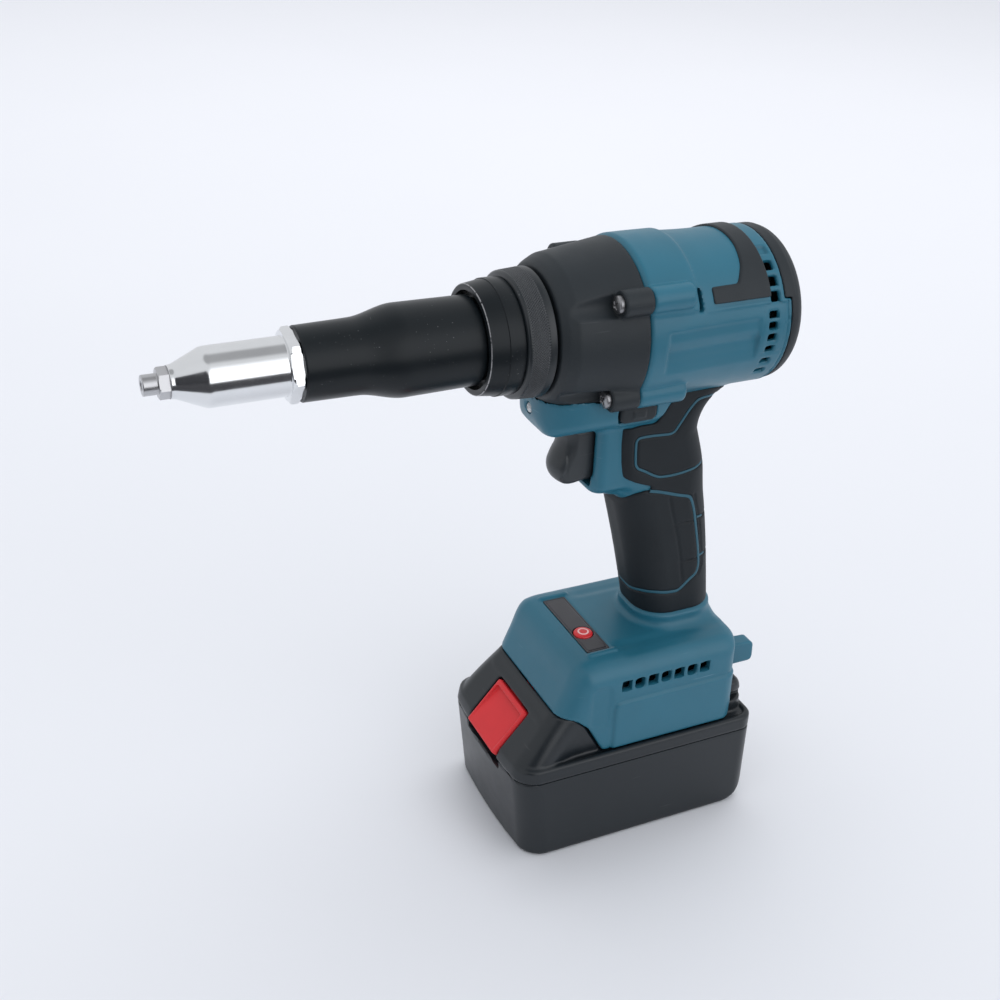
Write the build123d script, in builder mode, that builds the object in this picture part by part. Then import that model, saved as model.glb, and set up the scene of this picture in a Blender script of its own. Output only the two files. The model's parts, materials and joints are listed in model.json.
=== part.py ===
"""Cordless blind-rivet gun with a slide-on battery pack, modelled as the separate pieces it is made of.

Frame: millimetres, +X towards the nose, +Y to the tool's left side, +Z up.
The origin is the centre of the battery's base, on the surface that the tool stands on.
"""
from build123d import *

import os
from math import acos, cos, pi, radians, sin, tan

os.makedirs("parts", exist_ok=True)

# Driving dimensions: the line of the drive and the places along it
drive_height = 230.0
tip_x = 193.2
hex_front_x = 187.9
sleeve_front_x = 184.2
sleeve_cone_x = 171.9
flange_front_x = 143.5
barrel_front_x = 139.0
flare_front_x = 118.2
flare_rear_x = 100.8
collar_front_x = 72.6
collar_crease_x = 65.4
ring_front_x = 58.8
ring_rear_x = 47.5
case_front_x = 46.4
case_crease_x = 40.4
case_joint_x = 13.2
band_rear_x = -8.8
tube_rear_x = -49.6
cap_rear_x = -57.5

# Driving dimensions: radii about the drive
tip_radius = 3.74
rivet_bore_radius = 1.75
sleeve_radius = 10.85
barrel_front_radius = 13.8
barrel_flare_radius = 17.35
barrel_rear_radius = 17.0
collar_radius = 22.3
ring_radius = 24.9
case_front_radius = 25.6
case_rear_radius = 33.0
band_radius = 33.6
tube_radius = 31.7
tube_bore_radius = 29.2
gear_cavity_radius = 26.0

# Driving dimensions: the hand end
grip_half_width = 16.2
pad_thickness = 1.8
wall = 2.4
chin_half_width = 20.0
chin_bottom_z = 185.4
chin_top_z = 207.0
foot_top_z = 90.5
foot_half_width = 34.5
foot_wall = 3.4
ledge_z = 47.0
seam_z = 40.3
battery_half_length = 56.0
battery_half_width = 37.5
battery_front_x = 61.6
battery_base_front_x = 52.0
battery_bow = 1.4

# Driving dimensions: selector, travel and fits
selector_x = (0.6, 15.4)
selector_z = (194.4, 201.8)
selector_floor = 14.0
stroke = 20.0
trigger_travel = 6.0
selector_travel = 2.5
fit = 0.4
running_fit = 0.05

# Driving dimensions: the planetary gears, both stages alike
gear_module = 1.0
pressure_angle = radians(20)
sun_teeth = 12
planet_teeth = 15
ring_teeth = sun_teeth + 2 * planet_teeth
planet_count = 3
tooth_play = 0.14
addendum = 0.8 * gear_module
dedendum = 1.2 * gear_module

drive_axis = Axis((0, 0, drive_height), (1, 0, 0))
drive_plane = Plane(origin=(0, 0, drive_height), x_dir=(1, 0, 0), z_dir=(0, -1, 0))
middle_plane = Plane.XZ


def across(x, y=0.0, z=drive_height):
    """Plane that faces the nose at x, with its own x along +Y and its own y along +Z."""
    return Plane(origin=(x, y, z), x_dir=(0, 1, 0), z_dir=(1, 0, 0))


def turn(points, mode=Mode.ADD):
    """Turn a closed outline of (x, radius) points about the drive, in the current part."""
    with BuildSketch(drive_plane) as outline:
        with BuildLine():
            Polyline(*points, close=True)
        make_face()
    revolve(outline.sketch, axis=drive_axis, mode=mode)


def rod(x_start, x_end, radius, y=0.0, z=drive_height, mode=Mode.ADD):
    """Round bar along X in the current part."""
    with BuildSketch(across(x_start, y, z)) as section:
        Circle(radius)
    extrude(section.sketch, amount=x_end - x_start, mode=mode)


def cross_rod(x, z, y_start, y_end, radius, mode=Mode.ADD):
    """Round bar along Y in the current part."""
    with BuildSketch(Plane(origin=(x, y_start, z), x_dir=(1, 0, 0), z_dir=(0, 1, 0))) as section:
        Circle(radius)
    extrude(section.sketch, amount=y_end - y_start, mode=mode)


def upright_rod(x, y, z_start, z_end, radius, mode=Mode.ADD):
    """Round bar along Z in the current part."""
    with BuildSketch(Plane.XY.offset(z_start)) as section:
        with Locations((x, y)):
            Circle(radius)
    extrude(section.sketch, amount=z_end - z_start, mode=mode)


def slab(points, y_start, y_end, mode=Mode.ADD):
    """Closed (x, z) outline carried from y_start to y_end in the current part."""
    with BuildSketch(Plane(origin=(0, y_start, 0), x_dir=(1, 0, 0), z_dir=(0, -1, 0))) as side:
        with BuildLine():
            Polyline(*points, close=True)
        make_face()
    extrude(side.sketch, amount=y_start - y_end, mode=mode)


def block(x_span, y_span, z_span, mode=Mode.ADD):
    """Box between the ends of three spans in the current part."""
    spans = (x_span, y_span, z_span)
    with Locations(tuple((low + high) / 2 for low, high in spans)):
        Box(*(high - low for low, high in spans), mode=mode)


def coil(plane, radius, wire_radius, turns, length):
    """Open coil spring wound about the plane's normal from its origin, in the current part."""

    def point(quarter):
        angle = quarter * pi / 2
        rise = length * quarter / (4 * turns)
        return plane.from_local_coords((radius * cos(angle), radius * sin(angle), rise))

    with BuildLine() as path:
        for quarter in range(4 * turns):
            ThreePointArc(point(quarter), point(quarter + 0.5), point(quarter + 1))
    with BuildSketch(Plane(origin=path.line @ 0, z_dir=path.line % 0)) as section:
        Circle(wire_radius)
    sweep(section.sketch, path=path.line)


# Nose: tip, sleeve and barrel
hex_across_flats = 10.0
hex_turn = -10.0
tip_shank_radius = 4.0
tip_rear_x = 175.0
snout_x = 171.2
snout_radius = 2.8
with BuildPart() as nosepiece:
    turn([(snout_x, 0), (snout_x, snout_radius - 0.5), (snout_x + 0.8, snout_radius),
          (tip_rear_x, snout_radius), (tip_rear_x + 2, tip_shank_radius),
          (hex_front_x - 1, tip_shank_radius), (hex_front_x - 1, tip_radius), (tip_x - 0.4, tip_radius),
          (tip_x, tip_radius - 0.4), (tip_x, 0)])
    with BuildSketch(across(sleeve_front_x)):
        RegularPolygon(hex_across_flats / 2, 6, major_radius=False, rotation=hex_turn)
    extrude(amount=hex_front_x - sleeve_front_x)
    rod(snout_x, tip_x, rivet_bore_radius, mode=Mode.SUBTRACT)
nosepiece.part.label = "nosepiece"
export_step(nosepiece.part, "parts/nosepiece.step")

flange_across_flats = 24.0
flange_bevel_radius = 12.4
sleeve_thread_x = 122.0
sleeve_thread_radius = 10.6
sleeve_bore_radius = 8.6
sleeve_lip_radius = 5.95
sleeve_bore_end_x = 166.0
with BuildPart() as nose_sleeve:
    turn([(sleeve_thread_x, 0), (sleeve_thread_x, sleeve_thread_radius),
          (barrel_front_x, sleeve_thread_radius), (barrel_front_x, sleeve_radius),
          (sleeve_cone_x, sleeve_radius),
          (sleeve_front_x - 1.5, sleeve_lip_radius), (sleeve_front_x, sleeve_lip_radius - 0.2),
          (sleeve_front_x, 0)])
    with BuildSketch(across(barrel_front_x)):
        RegularPolygon(flange_across_flats / 2, 6, major_radius=False, rotation=hex_turn)
    extrude(amount=flange_front_x - barrel_front_x)
    for face_x, inner_x in ((flange_front_x, flange_front_x - 1.4), (barrel_front_x, barrel_front_x + 1.4)):
        turn([(face_x, flange_bevel_radius), (face_x, flange_across_flats), (inner_x, flange_across_flats),
              (inner_x, flange_bevel_radius + 1.6)], mode=Mode.SUBTRACT)
    turn([(sleeve_thread_x, 0), (sleeve_thread_x, sleeve_bore_radius),
          (sleeve_bore_end_x, sleeve_bore_radius), (tip_rear_x + 2, tip_shank_radius),
          (sleeve_front_x, tip_shank_radius), (sleeve_front_x, 0)],
         mode=Mode.SUBTRACT)
nose_sleeve.part.label = "nose_sleeve"
export_step(nose_sleeve.part, "parts/nose_sleeve.step")

barrel_tail_x = 60.0
barrel_tail_radius = 15.5
nut_room_x = 80.0
nut_room_radius = 12.9
screw_room_radius = 11.5
guide_x = (106.0, 112.0)
key_slot_x = (guide_x[0] - stroke - 2.0, guide_x[1] + 2.0)
key_slot_radius = 13.0
key_width = 4.4
with BuildPart() as barrel:
    with BuildSketch(drive_plane):
        with BuildLine():
            Polyline((flare_rear_x, barrel_flare_radius), (collar_front_x, barrel_rear_radius),
                     (collar_front_x, barrel_tail_radius), (barrel_tail_x, barrel_tail_radius),
                     (barrel_tail_x, 0), (barrel_front_x, 0),
                     (barrel_front_x, barrel_front_radius - 0.5), (barrel_front_x - 0.5, barrel_front_radius),
                     (flare_front_x, barrel_front_radius + 0.3))
            Spline((flare_front_x, barrel_front_radius + 0.3), (flare_rear_x, barrel_flare_radius),
                   tangents=[(-1, 0.03), (-1, 0)])
        make_face()
    revolve(axis=drive_axis)
    turn([(barrel_tail_x, 0), (barrel_tail_x, nut_room_radius), (nut_room_x, nut_room_radius),
          (nut_room_x, screw_room_radius), (sleeve_thread_x, screw_room_radius),
          (sleeve_thread_x, sleeve_thread_radius), (barrel_front_x, sleeve_thread_radius),
          (barrel_front_x, 0)], mode=Mode.SUBTRACT)
    with BuildSketch(across(key_slot_x[0])) as key_slots:
        with PolarLocations(key_slot_radius / 2, 2):
            Rectangle(key_slot_radius, key_width + 2 * fit)
    extrude(key_slots.sketch, amount=key_slot_x[1] - key_slot_x[0], mode=Mode.SUBTRACT)
barrel.part.label = "barrel"
export_step(barrel.part, "parts/barrel.step")

# Collar, lock ring and the bearing that carries the nut
nut_bearing_x = (49.0, 57.0)
nut_radius = 12.4
nut_bearing_radius = 15.0
collar_mouth_radius = 18.6
collar_mouth_x = 68.6
collar_neck_radius = 21.0
with BuildPart() as collar:
    turn([(case_front_x, nut_bearing_radius), (case_front_x, collar_neck_radius),
          (ring_front_x, collar_neck_radius), (ring_front_x, collar_radius), (collar_crease_x, collar_radius),
          (collar_crease_x, collar_radius - 0.3), (collar_front_x - 0.4, collar_radius - 1.3),
          (collar_front_x, collar_radius - 1.7), (collar_front_x, collar_mouth_radius),
          (collar_mouth_x, collar_mouth_radius), (collar_mouth_x, barrel_tail_radius),
          (barrel_tail_x, barrel_tail_radius), (barrel_tail_x, nut_bearing_radius)])
collar.part.label = "collar"
export_step(collar.part, "parts/collar.step")

with BuildPart() as knurled_ring:
    turn([(ring_rear_x, collar_neck_radius), (ring_rear_x, ring_radius - 0.6),
          (ring_rear_x + 0.6, ring_radius), (ring_front_x - 0.8, ring_radius - 0.5),
          (ring_front_x, ring_radius - 1.3), (ring_front_x, collar_neck_radius)])
knurled_ring.part.label = "knurled_ring"
export_step(knurled_ring.part, "parts/knurled_ring.step")

with BuildPart() as nut_bearing:
    turn([(nut_bearing_x[0], nut_radius + running_fit), (nut_bearing_x[0], nut_bearing_radius),
          (nut_bearing_x[1], nut_bearing_radius), (nut_bearing_x[1], nut_radius + running_fit)])
nut_bearing.part.label = "nut_bearing"
export_step(nut_bearing.part, "parts/nut_bearing.step")

# Gear case with its four screw bosses and a skirt that sits on the chin
upper_boss = (28.0, drive_height + 18.0)
lower_boss = (23.6, drive_height - 21.6)
boss_radius = 5.2
boss_front_x = 25.0
relief_front_x = 42.0
relief_radius = 4.3
screw_radius = 2.0
screw_head_radius = 3.4
boss_places = [(side * y, z) for side in (1, -1) for y, z in (upper_boss, lower_boss)]
spigot_rear_x = 0.0
spigot_radius = tube_bore_radius - 0.4
thrust_seat_x = 35.2
flange_room_x = 27.2
flange_room_radius = 18.6
nut_passage_radius = nut_radius + 1.0
skirt_front_x = 47.0
skirt_half_width = chin_half_width - 0.5
skirt_corner = 13.0
case_profile = [(case_joint_x, case_rear_radius), (case_crease_x, case_front_radius + 3.6),
                (case_front_x - 2.2, case_front_radius + 1.7), (case_front_x, case_front_radius)]
with BuildPart() as gear_case:
    turn([(spigot_rear_x, 0), (spigot_rear_x, spigot_radius), (case_joint_x, spigot_radius),
          *case_profile, (case_front_x, 0)])
    with BuildSketch(Plane.XY.offset(chin_top_z)) as skirt:
        with Locations(((skirt_front_x + case_joint_x) / 2, 0)):
            Rectangle(skirt_front_x - case_joint_x, 2 * skirt_half_width)
        fillet(skirt.vertices().group_by(Axis.X)[-1], skirt_corner)
    extrude(skirt.sketch, amount=drive_height - chin_top_z - 8)
    for y, z in boss_places:
        rod(case_joint_x, boss_front_x, boss_radius, y, z)
    for y, z in boss_places:
        rod(boss_front_x, relief_front_x, relief_radius, y, z, mode=Mode.SUBTRACT)
        rod(case_joint_x, boss_front_x, screw_radius + 0.2, y, z, mode=Mode.SUBTRACT)
    turn([(spigot_rear_x, 0), (spigot_rear_x, gear_cavity_radius), (flange_room_x, gear_cavity_radius),
          (flange_room_x, flange_room_radius), (thrust_seat_x, flange_room_radius),
          (thrust_seat_x, nut_passage_radius), (case_front_x, nut_passage_radius), (case_front_x, 0)],
         mode=Mode.SUBTRACT)
    block((case_front_x, skirt_front_x + 1), (-chin_half_width, chin_half_width), (chin_top_z, drive_height),
          mode=Mode.SUBTRACT)
    for side in (-1, 1):
        block((case_joint_x, selector_x[1] + 1), sorted((side * (selector_floor - 1), side * chin_half_width)),
              (selector_z[0], selector_z[1] + 1), mode=Mode.SUBTRACT)
gear_case.part.label = "gear_case"
export_step(gear_case.part, "parts/gear_case.step")

screw_end_x = -6.0
screw_head_height = 2.4
drive_recess = (3.2, 0.8, 1.2)
with BuildPart() as gear_case_screws:
    for y, z in boss_places:
        rod(screw_end_x, boss_front_x, screw_radius, y, z)
        rod(boss_front_x, boss_front_x + screw_head_height, screw_head_radius, y, z)
    fillet(gear_case_screws.edges().filter_by(GeomType.CIRCLE).group_by(Axis.X)[-1], 1.2)
    for y, z in boss_places:
        with BuildSketch(across(boss_front_x + screw_head_height, y, z)) as cross:
            Rectangle(drive_recess[0], drive_recess[1], rotation=45)
            Rectangle(drive_recess[1], drive_recess[0], rotation=45)
        extrude(cross.sketch, amount=-drive_recess[2], mode=Mode.SUBTRACT)
gear_case_screws.part.label = "gear_case_screws"
export_step(gear_case_screws.part, "parts/gear_case_screws.step")

# Planetary gears: two stages in one ring, teeth in mesh at rest
sun_pitch = gear_module * sun_teeth / 2
planet_pitch = gear_module * planet_teeth / 2
ring_pitch = gear_module * ring_teeth / 2
planet_orbit = sun_pitch + planet_pitch
ring_gear_x = (1.5, 22.2)
stage_1_x = (3.0, 10.0)
stage_2_x = (14.4, 21.6)
carrier_1_x = (10.6, 13.8)
carrier_2_x = (22.2, 26.2)
carrier_radius = 17.4
pin_radius = 2.0
planet_angles = [2 * pi * k / planet_count for k in range(planet_count)]


def toothed_outline(teeth, phase, tip_rise, root_drop, play):
    """Closed outline of a gear with a tooth at the angle phase and flanks through the involute's points."""
    pitch = gear_module * teeth / 2
    base = pitch * cos(pressure_angle)

    def involute(angle):
        return tan(angle) - angle

    def half_angle(radius):
        pressure = acos(base / max(radius, base))
        thickness = (pi * gear_module / 2 - play) / (2 * pitch)
        return thickness + involute(pressure_angle) - involute(pressure)

    flank = [(radius, half_angle(radius)) for radius in (pitch - root_drop, pitch, pitch + tip_rise)]
    points = []
    for tooth in range(teeth):
        centre = phase + 2 * pi * tooth / teeth
        points += [(r * cos(centre - half), r * sin(centre - half)) for r, half in flank]
        points += [(r * cos(centre + half), r * sin(centre + half)) for r, half in reversed(flank)]
    return points


def gear_body(x_span, outline, y=0.0, z=drive_height, bore=0.0):
    """Toothed wheel across the drive between two places, in the current part."""
    with BuildSketch(across(x_span[0], y, z)) as face:
        with BuildLine():
            Polyline(*outline, close=True)
        make_face()
        if bore:
            Circle(bore, mode=Mode.SUBTRACT)
    extrude(face.sketch, amount=x_span[1] - x_span[0])


sun_outline = toothed_outline(sun_teeth, 0, addendum, dedendum, tooth_play)
ring_outline = toothed_outline(ring_teeth, 0, dedendum, addendum, -tooth_play)
with BuildPart() as ring_gear:
    with BuildSketch(across(ring_gear_x[0])):
        Circle(gear_cavity_radius)
        with BuildLine():
            Polyline(*ring_outline, close=True)
        make_face(mode=Mode.SUBTRACT)
    extrude(amount=ring_gear_x[1] - ring_gear_x[0])
ring_gear.part.label = "ring_gear"
export_step(ring_gear.part, "parts/ring_gear.step")

shaft_radius = 2.5
pinion_x = (2.6, 10.2)
with BuildPart() as motor_pinion:
    gear_body(pinion_x, sun_outline, bore=shaft_radius)
motor_pinion.part.label = "motor_pinion"
export_step(motor_pinion.part, "parts/motor_pinion.step")

for stage, stage_x in ((1, stage_1_x), (2, stage_2_x)):
    for angle, letter in zip(planet_angles, "abc"):
        # A gap of the planet faces a tooth of the sun, which has one at angle zero
        phase = angle + pi + (sun_pitch * angle - pi * gear_module / 2) / planet_pitch
        planet_y = planet_orbit * cos(angle)
        planet_z = drive_height + planet_orbit * sin(angle)
        with BuildPart() as planet:
            gear_body(stage_x, toothed_outline(planet_teeth, phase, addendum, dedendum, tooth_play),
                      planet_y, planet_z, bore=pin_radius + running_fit)
        planet.part.label = f"planet_{stage}{letter}"
        export_step(planet.part, f"parts/planet_{stage}{letter}.step")

with BuildPart() as carrier_1:
    rod(*carrier_1_x, carrier_radius)
    gear_body((carrier_1_x[1], stage_2_x[1]), sun_outline)
    for angle in planet_angles:
        rod(stage_1_x[0], carrier_1_x[0], pin_radius, planet_orbit * cos(angle),
            drive_height + planet_orbit * sin(angle))
carrier_1.part.label = "carrier_1"
export_step(carrier_1.part, "parts/carrier_1.step")

with BuildPart() as carrier_2:
    rod(*carrier_2_x, carrier_radius)
    for angle in planet_angles:
        rod(stage_2_x[0], carrier_2_x[0], pin_radius, planet_orbit * cos(angle),
            drive_height + planet_orbit * sin(angle))
carrier_2.part.label = "carrier_2"
export_step(carrier_2.part, "parts/carrier_2.step")

# Screw and nut that turn the motor's spin into the pull
pull_screw_radius = 6.0
nut_flange_radius = 17.2
nut_flange_x = 30.8
nut_front_x = 70.0
with BuildPart() as screw_nut:
    turn([(carrier_2_x[1], pull_screw_radius + fit), (carrier_2_x[1], nut_flange_radius),
          (nut_flange_x, nut_flange_radius), (nut_flange_x, nut_radius), (nut_front_x, nut_radius),
          (nut_front_x, pull_screw_radius + fit)])
screw_nut.part.label = "screw_nut"
export_step(screw_nut.part, "parts/screw_nut.step")

with BuildPart() as thrust_bearing:
    turn([(nut_flange_x + running_fit, nut_radius + fit), (nut_flange_x + running_fit, nut_flange_radius),
          (thrust_seat_x, nut_flange_radius), (thrust_seat_x, nut_radius + fit)])
thrust_bearing.part.label = "thrust_bearing"
export_step(thrust_bearing.part, "parts/thrust_bearing.step")

screw_rear_x = 48.0
guide_radius = screw_room_radius - fit
key_radius = key_slot_radius - fit
screw_tip_x = 130.0
screw_tip_radius = 5.0
with BuildPart() as pull_screw:
    turn([(screw_rear_x, 0), (screw_rear_x, pull_screw_radius - 1), (screw_rear_x + 1, pull_screw_radius),
          (guide_x[0], pull_screw_radius), (guide_x[0], guide_radius), (guide_x[1], guide_radius),
          (guide_x[1], screw_tip_radius), (screw_tip_x, screw_tip_radius), (screw_tip_x, 0)])
    with BuildSketch(across(guide_x[0])) as keys:
        with PolarLocations(key_radius / 2, 2):
            Rectangle(key_radius, key_width)
    extrude(keys.sketch, amount=guide_x[1] - guide_x[0])
pull_screw.part.label = "pull_screw"
export_step(pull_screw.part, "parts/pull_screw.step")

jaw_case_front_x = 172.0
jaw_case_radius = sleeve_bore_radius - fit
jaw_room_radius = 5.7
jaw_mouth_radius = 3.3
jaw_cone_x = (158.0, 170.6)
sleeve_lead_x = 162.0
with BuildPart() as jaw_case:
    turn([(guide_x[1], screw_tip_radius), (guide_x[1], jaw_case_radius), (sleeve_lead_x, jaw_case_radius),
          (jaw_case_front_x, jaw_mouth_radius + 1.1), (jaw_case_front_x, jaw_mouth_radius),
          (jaw_cone_x[1], jaw_mouth_radius), (jaw_cone_x[0], jaw_room_radius), (screw_tip_x, jaw_room_radius),
          (screw_tip_x, screw_tip_radius)])
jaw_case.part.label = "jaw_case"
export_step(jaw_case.part, "parts/jaw_case.step")

jaw_count = 3
jaw_gap = 0.9
jaw_rear_x = 152.0
jaw_bore_radius = 1.2
with BuildPart() as jaws:
    turn([(jaw_rear_x, jaw_bore_radius), (jaw_rear_x, jaw_room_radius - fit),
          (jaw_cone_x[0], jaw_room_radius - fit), (jaw_cone_x[1], jaw_mouth_radius - fit),
          (jaw_cone_x[1], jaw_bore_radius)])
    with BuildSketch(across(jaw_rear_x)) as jaw_cuts:
        with PolarLocations(jaw_room_radius / 2, jaw_count):
            Rectangle(jaw_room_radius, jaw_gap)
    extrude(jaw_cuts.sketch, amount=jaw_cone_x[1] - jaw_rear_x, mode=Mode.SUBTRACT)
jaws.part.label = "jaws"
export_step(jaws.part, "parts/jaws.step")

pusher_rear_x = 145.0
with BuildPart() as jaw_pusher:
    turn([(pusher_rear_x, jaw_bore_radius), (pusher_rear_x, jaw_room_radius - fit),
          (jaw_rear_x, jaw_room_radius - fit), (jaw_rear_x, jaw_bore_radius)])
jaw_pusher.part.label = "jaw_pusher"
export_step(jaw_pusher.part, "parts/jaw_pusher.step")

spring_wire_radius = 0.5
with BuildPart() as jaw_spring:
    coil(across(screw_tip_x + spring_wire_radius + 0.1), jaw_room_radius - 1.2, spring_wire_radius, 6,
         pusher_rear_x - screw_tip_x - 2 * spring_wire_radius - 0.6)
jaw_spring.part.label = "jaw_spring"
export_step(jaw_spring.part, "parts/jaw_spring.step")

# Motor: plate, bearings, rotor, stator, windings and fan
motor_plate_x = (-3.0, 1.5)
bearing_radius = 5.5
with BuildPart() as motor_plate:
    turn([(motor_plate_x[0], bearing_radius), (motor_plate_x[0], tube_bore_radius - 0.1),
          (spigot_rear_x, tube_bore_radius - 0.1), (spigot_rear_x, gear_cavity_radius),
          (motor_plate_x[1], gear_cavity_radius), (motor_plate_x[1], bearing_radius)])
motor_plate.part.label = "motor_plate"
export_step(motor_plate.part, "parts/motor_plate.step")

rear_bearing_x = (-52.5, -48.5)
for bearing_name, bearing_x in (("front_bearing", motor_plate_x), ("rear_bearing", rear_bearing_x)):
    with BuildPart() as bearing:
        turn([(bearing_x[0], shaft_radius + running_fit), (bearing_x[0], bearing_radius),
              (bearing_x[1], bearing_radius), (bearing_x[1], shaft_radius + running_fit)])
    bearing.part.label = bearing_name
    export_step(bearing.part, f"parts/{bearing_name}.step")

stack_x = (-34.0, -12.0)
rotor_radius = 11.0
air_gap = 0.6
with BuildPart() as rotor:
    turn([(rear_bearing_x[0], 0), (rear_bearing_x[0], shaft_radius), (stack_x[0], shaft_radius),
          (stack_x[0], rotor_radius), (stack_x[1], rotor_radius), (stack_x[1], shaft_radius),
          (pinion_x[1], shaft_radius), (pinion_x[1], 0)])
rotor.part.label = "rotor"
export_step(rotor.part, "parts/rotor.step")

tooth_count = 6
stator_rim = 4.2
stator_tooth_width = 6.0
shoe_height = 2.0
stator_bore = rotor_radius + air_gap
stator_radius = tube_bore_radius - 0.1
shoe_radius = stator_bore + shoe_height
shoe_gap = 3.0
with BuildPart() as stator:
    with BuildSketch(across(stack_x[0])) as lamination:
        Circle(stator_radius)
        Circle(stator_radius - stator_rim, mode=Mode.SUBTRACT)
        with PolarLocations((shoe_radius + stator_radius - stator_rim / 2) / 2, tooth_count):
            Rectangle(stator_radius - stator_rim / 2 - shoe_radius + 1, stator_tooth_width)
        Circle(shoe_radius)
        Circle(stator_bore, mode=Mode.SUBTRACT)
        with PolarLocations(shoe_radius, tooth_count, start_angle=180 / tooth_count):
            Rectangle(3 * shoe_height, shoe_gap, mode=Mode.SUBTRACT)
    extrude(lamination.sketch, amount=stack_x[1] - stack_x[0])
stator.part.label = "stator"
export_step(stator.part, "parts/stator.step")

winding_overhang = 2.6
winding_thickness = 3.0
winding_reach = (shoe_radius + 0.4, stator_radius - stator_rim - 1.2)
with BuildPart() as windings:
    with BuildSketch(across(stack_x[0] - winding_overhang)) as coil_sides:
        with PolarLocations(sum(winding_reach) / 2, tooth_count):
            Rectangle(winding_reach[1] - winding_reach[0], stator_tooth_width + 2 * winding_thickness)
    extrude(coil_sides.sketch, amount=stack_x[1] - stack_x[0] + 2 * winding_overhang)
    with BuildSketch(across(stack_x[0])) as tooth_room:
        with PolarLocations(sum(winding_reach) / 2, tooth_count):
            Rectangle(winding_reach[1] - winding_reach[0] + 1, stator_tooth_width)
    extrude(tooth_room.sketch, amount=stack_x[1] - stack_x[0], mode=Mode.SUBTRACT)
windings.part.label = "windings"
export_step(windings.part, "parts/windings.step")

fan_x = (-46.0, -39.0)
fan_radius = 25.5
fan_blades = 11
blade_thickness = 1.4
with BuildPart() as fan:
    rod(*fan_x, 6.0)
    rod(fan_x[1] - 1.4, fan_x[1], fan_radius)
    with BuildSketch(across(fan_x[0])) as blades:
        with PolarLocations(fan_radius / 2 + 2, fan_blades):
            Rectangle(fan_radius - 4, blade_thickness, rotation=20)
    extrude(blades.sketch, amount=fan_x[1] - fan_x[0])
    rod(*fan_x, shaft_radius, mode=Mode.SUBTRACT)
fan.part.label = "fan"
export_step(fan.part, "parts/fan.step")

# Grip: each level is (height, front, rear) of the soft skin, and the web sweeps back under the motor
grip_levels = [(86.0, -9.0, -44.6), (113.0, -3.0, -41.2), (135.0, 2.4, -37.9), (155.0, 7.8, -34.2),
               (170.0, 9.6, -30.2), (184.0, 10.5, -26.4)]
grip_corner = 13.5
web_radius = 16.4
web_start = (-26.8, 183.4)
web_front_x = 10.5
web_top_z = 206.0
web_round = 10.0


def grip_solid(inset):
    """Grip drawn in from its soft skin by inset: a tapered handle and the web above it."""
    bend = web_radius + inset
    pivot_x = web_start[0] - web_radius
    with BuildPart() as web:
        with BuildSketch(Plane(origin=(0, inset - grip_half_width, 0), x_dir=(1, 0, 0), z_dir=(0, -1, 0))):
            with BuildLine():
                low = (web_start[0] + inset, web_start[1])
                middle = (pivot_x + bend * cos(pi / 4), web_start[1] + bend * sin(pi / 4))
                high = (pivot_x, web_start[1] + bend)
                ThreePointArc(low, middle, high)
                Polyline(high, (pivot_x, web_top_z), (web_front_x - inset, web_top_z),
                         (web_front_x - inset, web_start[1]), low)
            make_face()
        extrude(amount=-2 * (grip_half_width - inset))
        fillet(web.edges().filter_by(GeomType.CIRCLE), web_round)
    with BuildPart() as handle:
        for z, front, rear in grip_levels:
            depth = front - rear - 2 * inset
            with BuildSketch(Plane.XY.offset(z)):
                with Locations(((front + rear) / 2, 0)):
                    RectangleRounded(depth, 2 * (grip_half_width - inset), grip_corner - inset)
        loft()
        add(web.part)
    return handle.part


# Teal parts of the grip, in side view: the column behind the trigger and the lines between the soft pads
column_front_x = 19.5
column_z = (160.0, 206.0)
column_rear_x = -6.0
column_half_width = 13.5
lip_half_width = 9.0
lip_outline = [(2.0, 156.4), (12.0, 157.4), (20.0, 159.8), (22.6, 163.0), (22.6, 164.0), (2.0, 164.0)]
bare_wedge = [(40.0, 207.0), (13.0, 191.4), (11.5, 170.0), (-2.5, 162.5), (-2.8, 159.4), (4.0, 156.0),
              (9.0, 158.0), (40.0, 158.0)]
bare_top = [(40.0, 191.0), (-1.5, 190.0), (-8.0, 203.0), (-8.0, 210.0), (40.0, 210.0)]
palm_line = [(-2.0, 160.6), (-24.5, 153.2), (-31.4, 115.9), (-24.0, 106.4), (-12.8, 108.0), (6.6, 118.0)]
thumb_line = [(-44.0, 173.0), (-25.5, 168.6), (-6.3, 166.6), (5.0, 173.3), (5.6, 184.5), (-11.0, 184.3),
              (-21.9, 198.4), (-50.0, 198.6)]
palm_line_width = 1.6
thumb_line_width = 1.1

# Clamshell: what both halves share, drawn whole and then split down the middle
chin_front_x = 49.8
chin_rear_x = -14.0
chin_corner = 15.0
chin_profile = [(chin_rear_x, chin_bottom_z + 2.6), (36.0, chin_bottom_z), (42.5, 188.6), (47.2, 196.0),
                (chin_front_x, chin_top_z), (chin_rear_x, chin_top_z)]
chin_bevel = [(chin_half_width, chin_top_z), (chin_half_width, 194.0), (4.2, chin_bottom_z)]
with BuildPart() as chin:
    with BuildSketch(Plane.XY.offset(chin_bottom_z - 1)) as chin_plan:
        with Locations(((chin_front_x + chin_rear_x) / 2, 0)):
            Rectangle(chin_front_x - chin_rear_x, 2 * chin_half_width)
        fillet(chin_plan.vertices().group_by(Axis.X)[-1], chin_corner)
    extrude(amount=chin_top_z - chin_bottom_z + 1)
    slab(chin_profile, -chin_half_width, chin_half_width, mode=Mode.INTERSECT)
    with BuildSketch(across(chin_rear_x, z=0)) as chin_section:
        with BuildLine():
            Polyline(*chin_bevel, *((-y, z) for y, z in reversed(chin_bevel)), close=True)
        make_face()
    extrude(chin_section.sketch, amount=chin_front_x - chin_rear_x, mode=Mode.INTERSECT)

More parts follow.
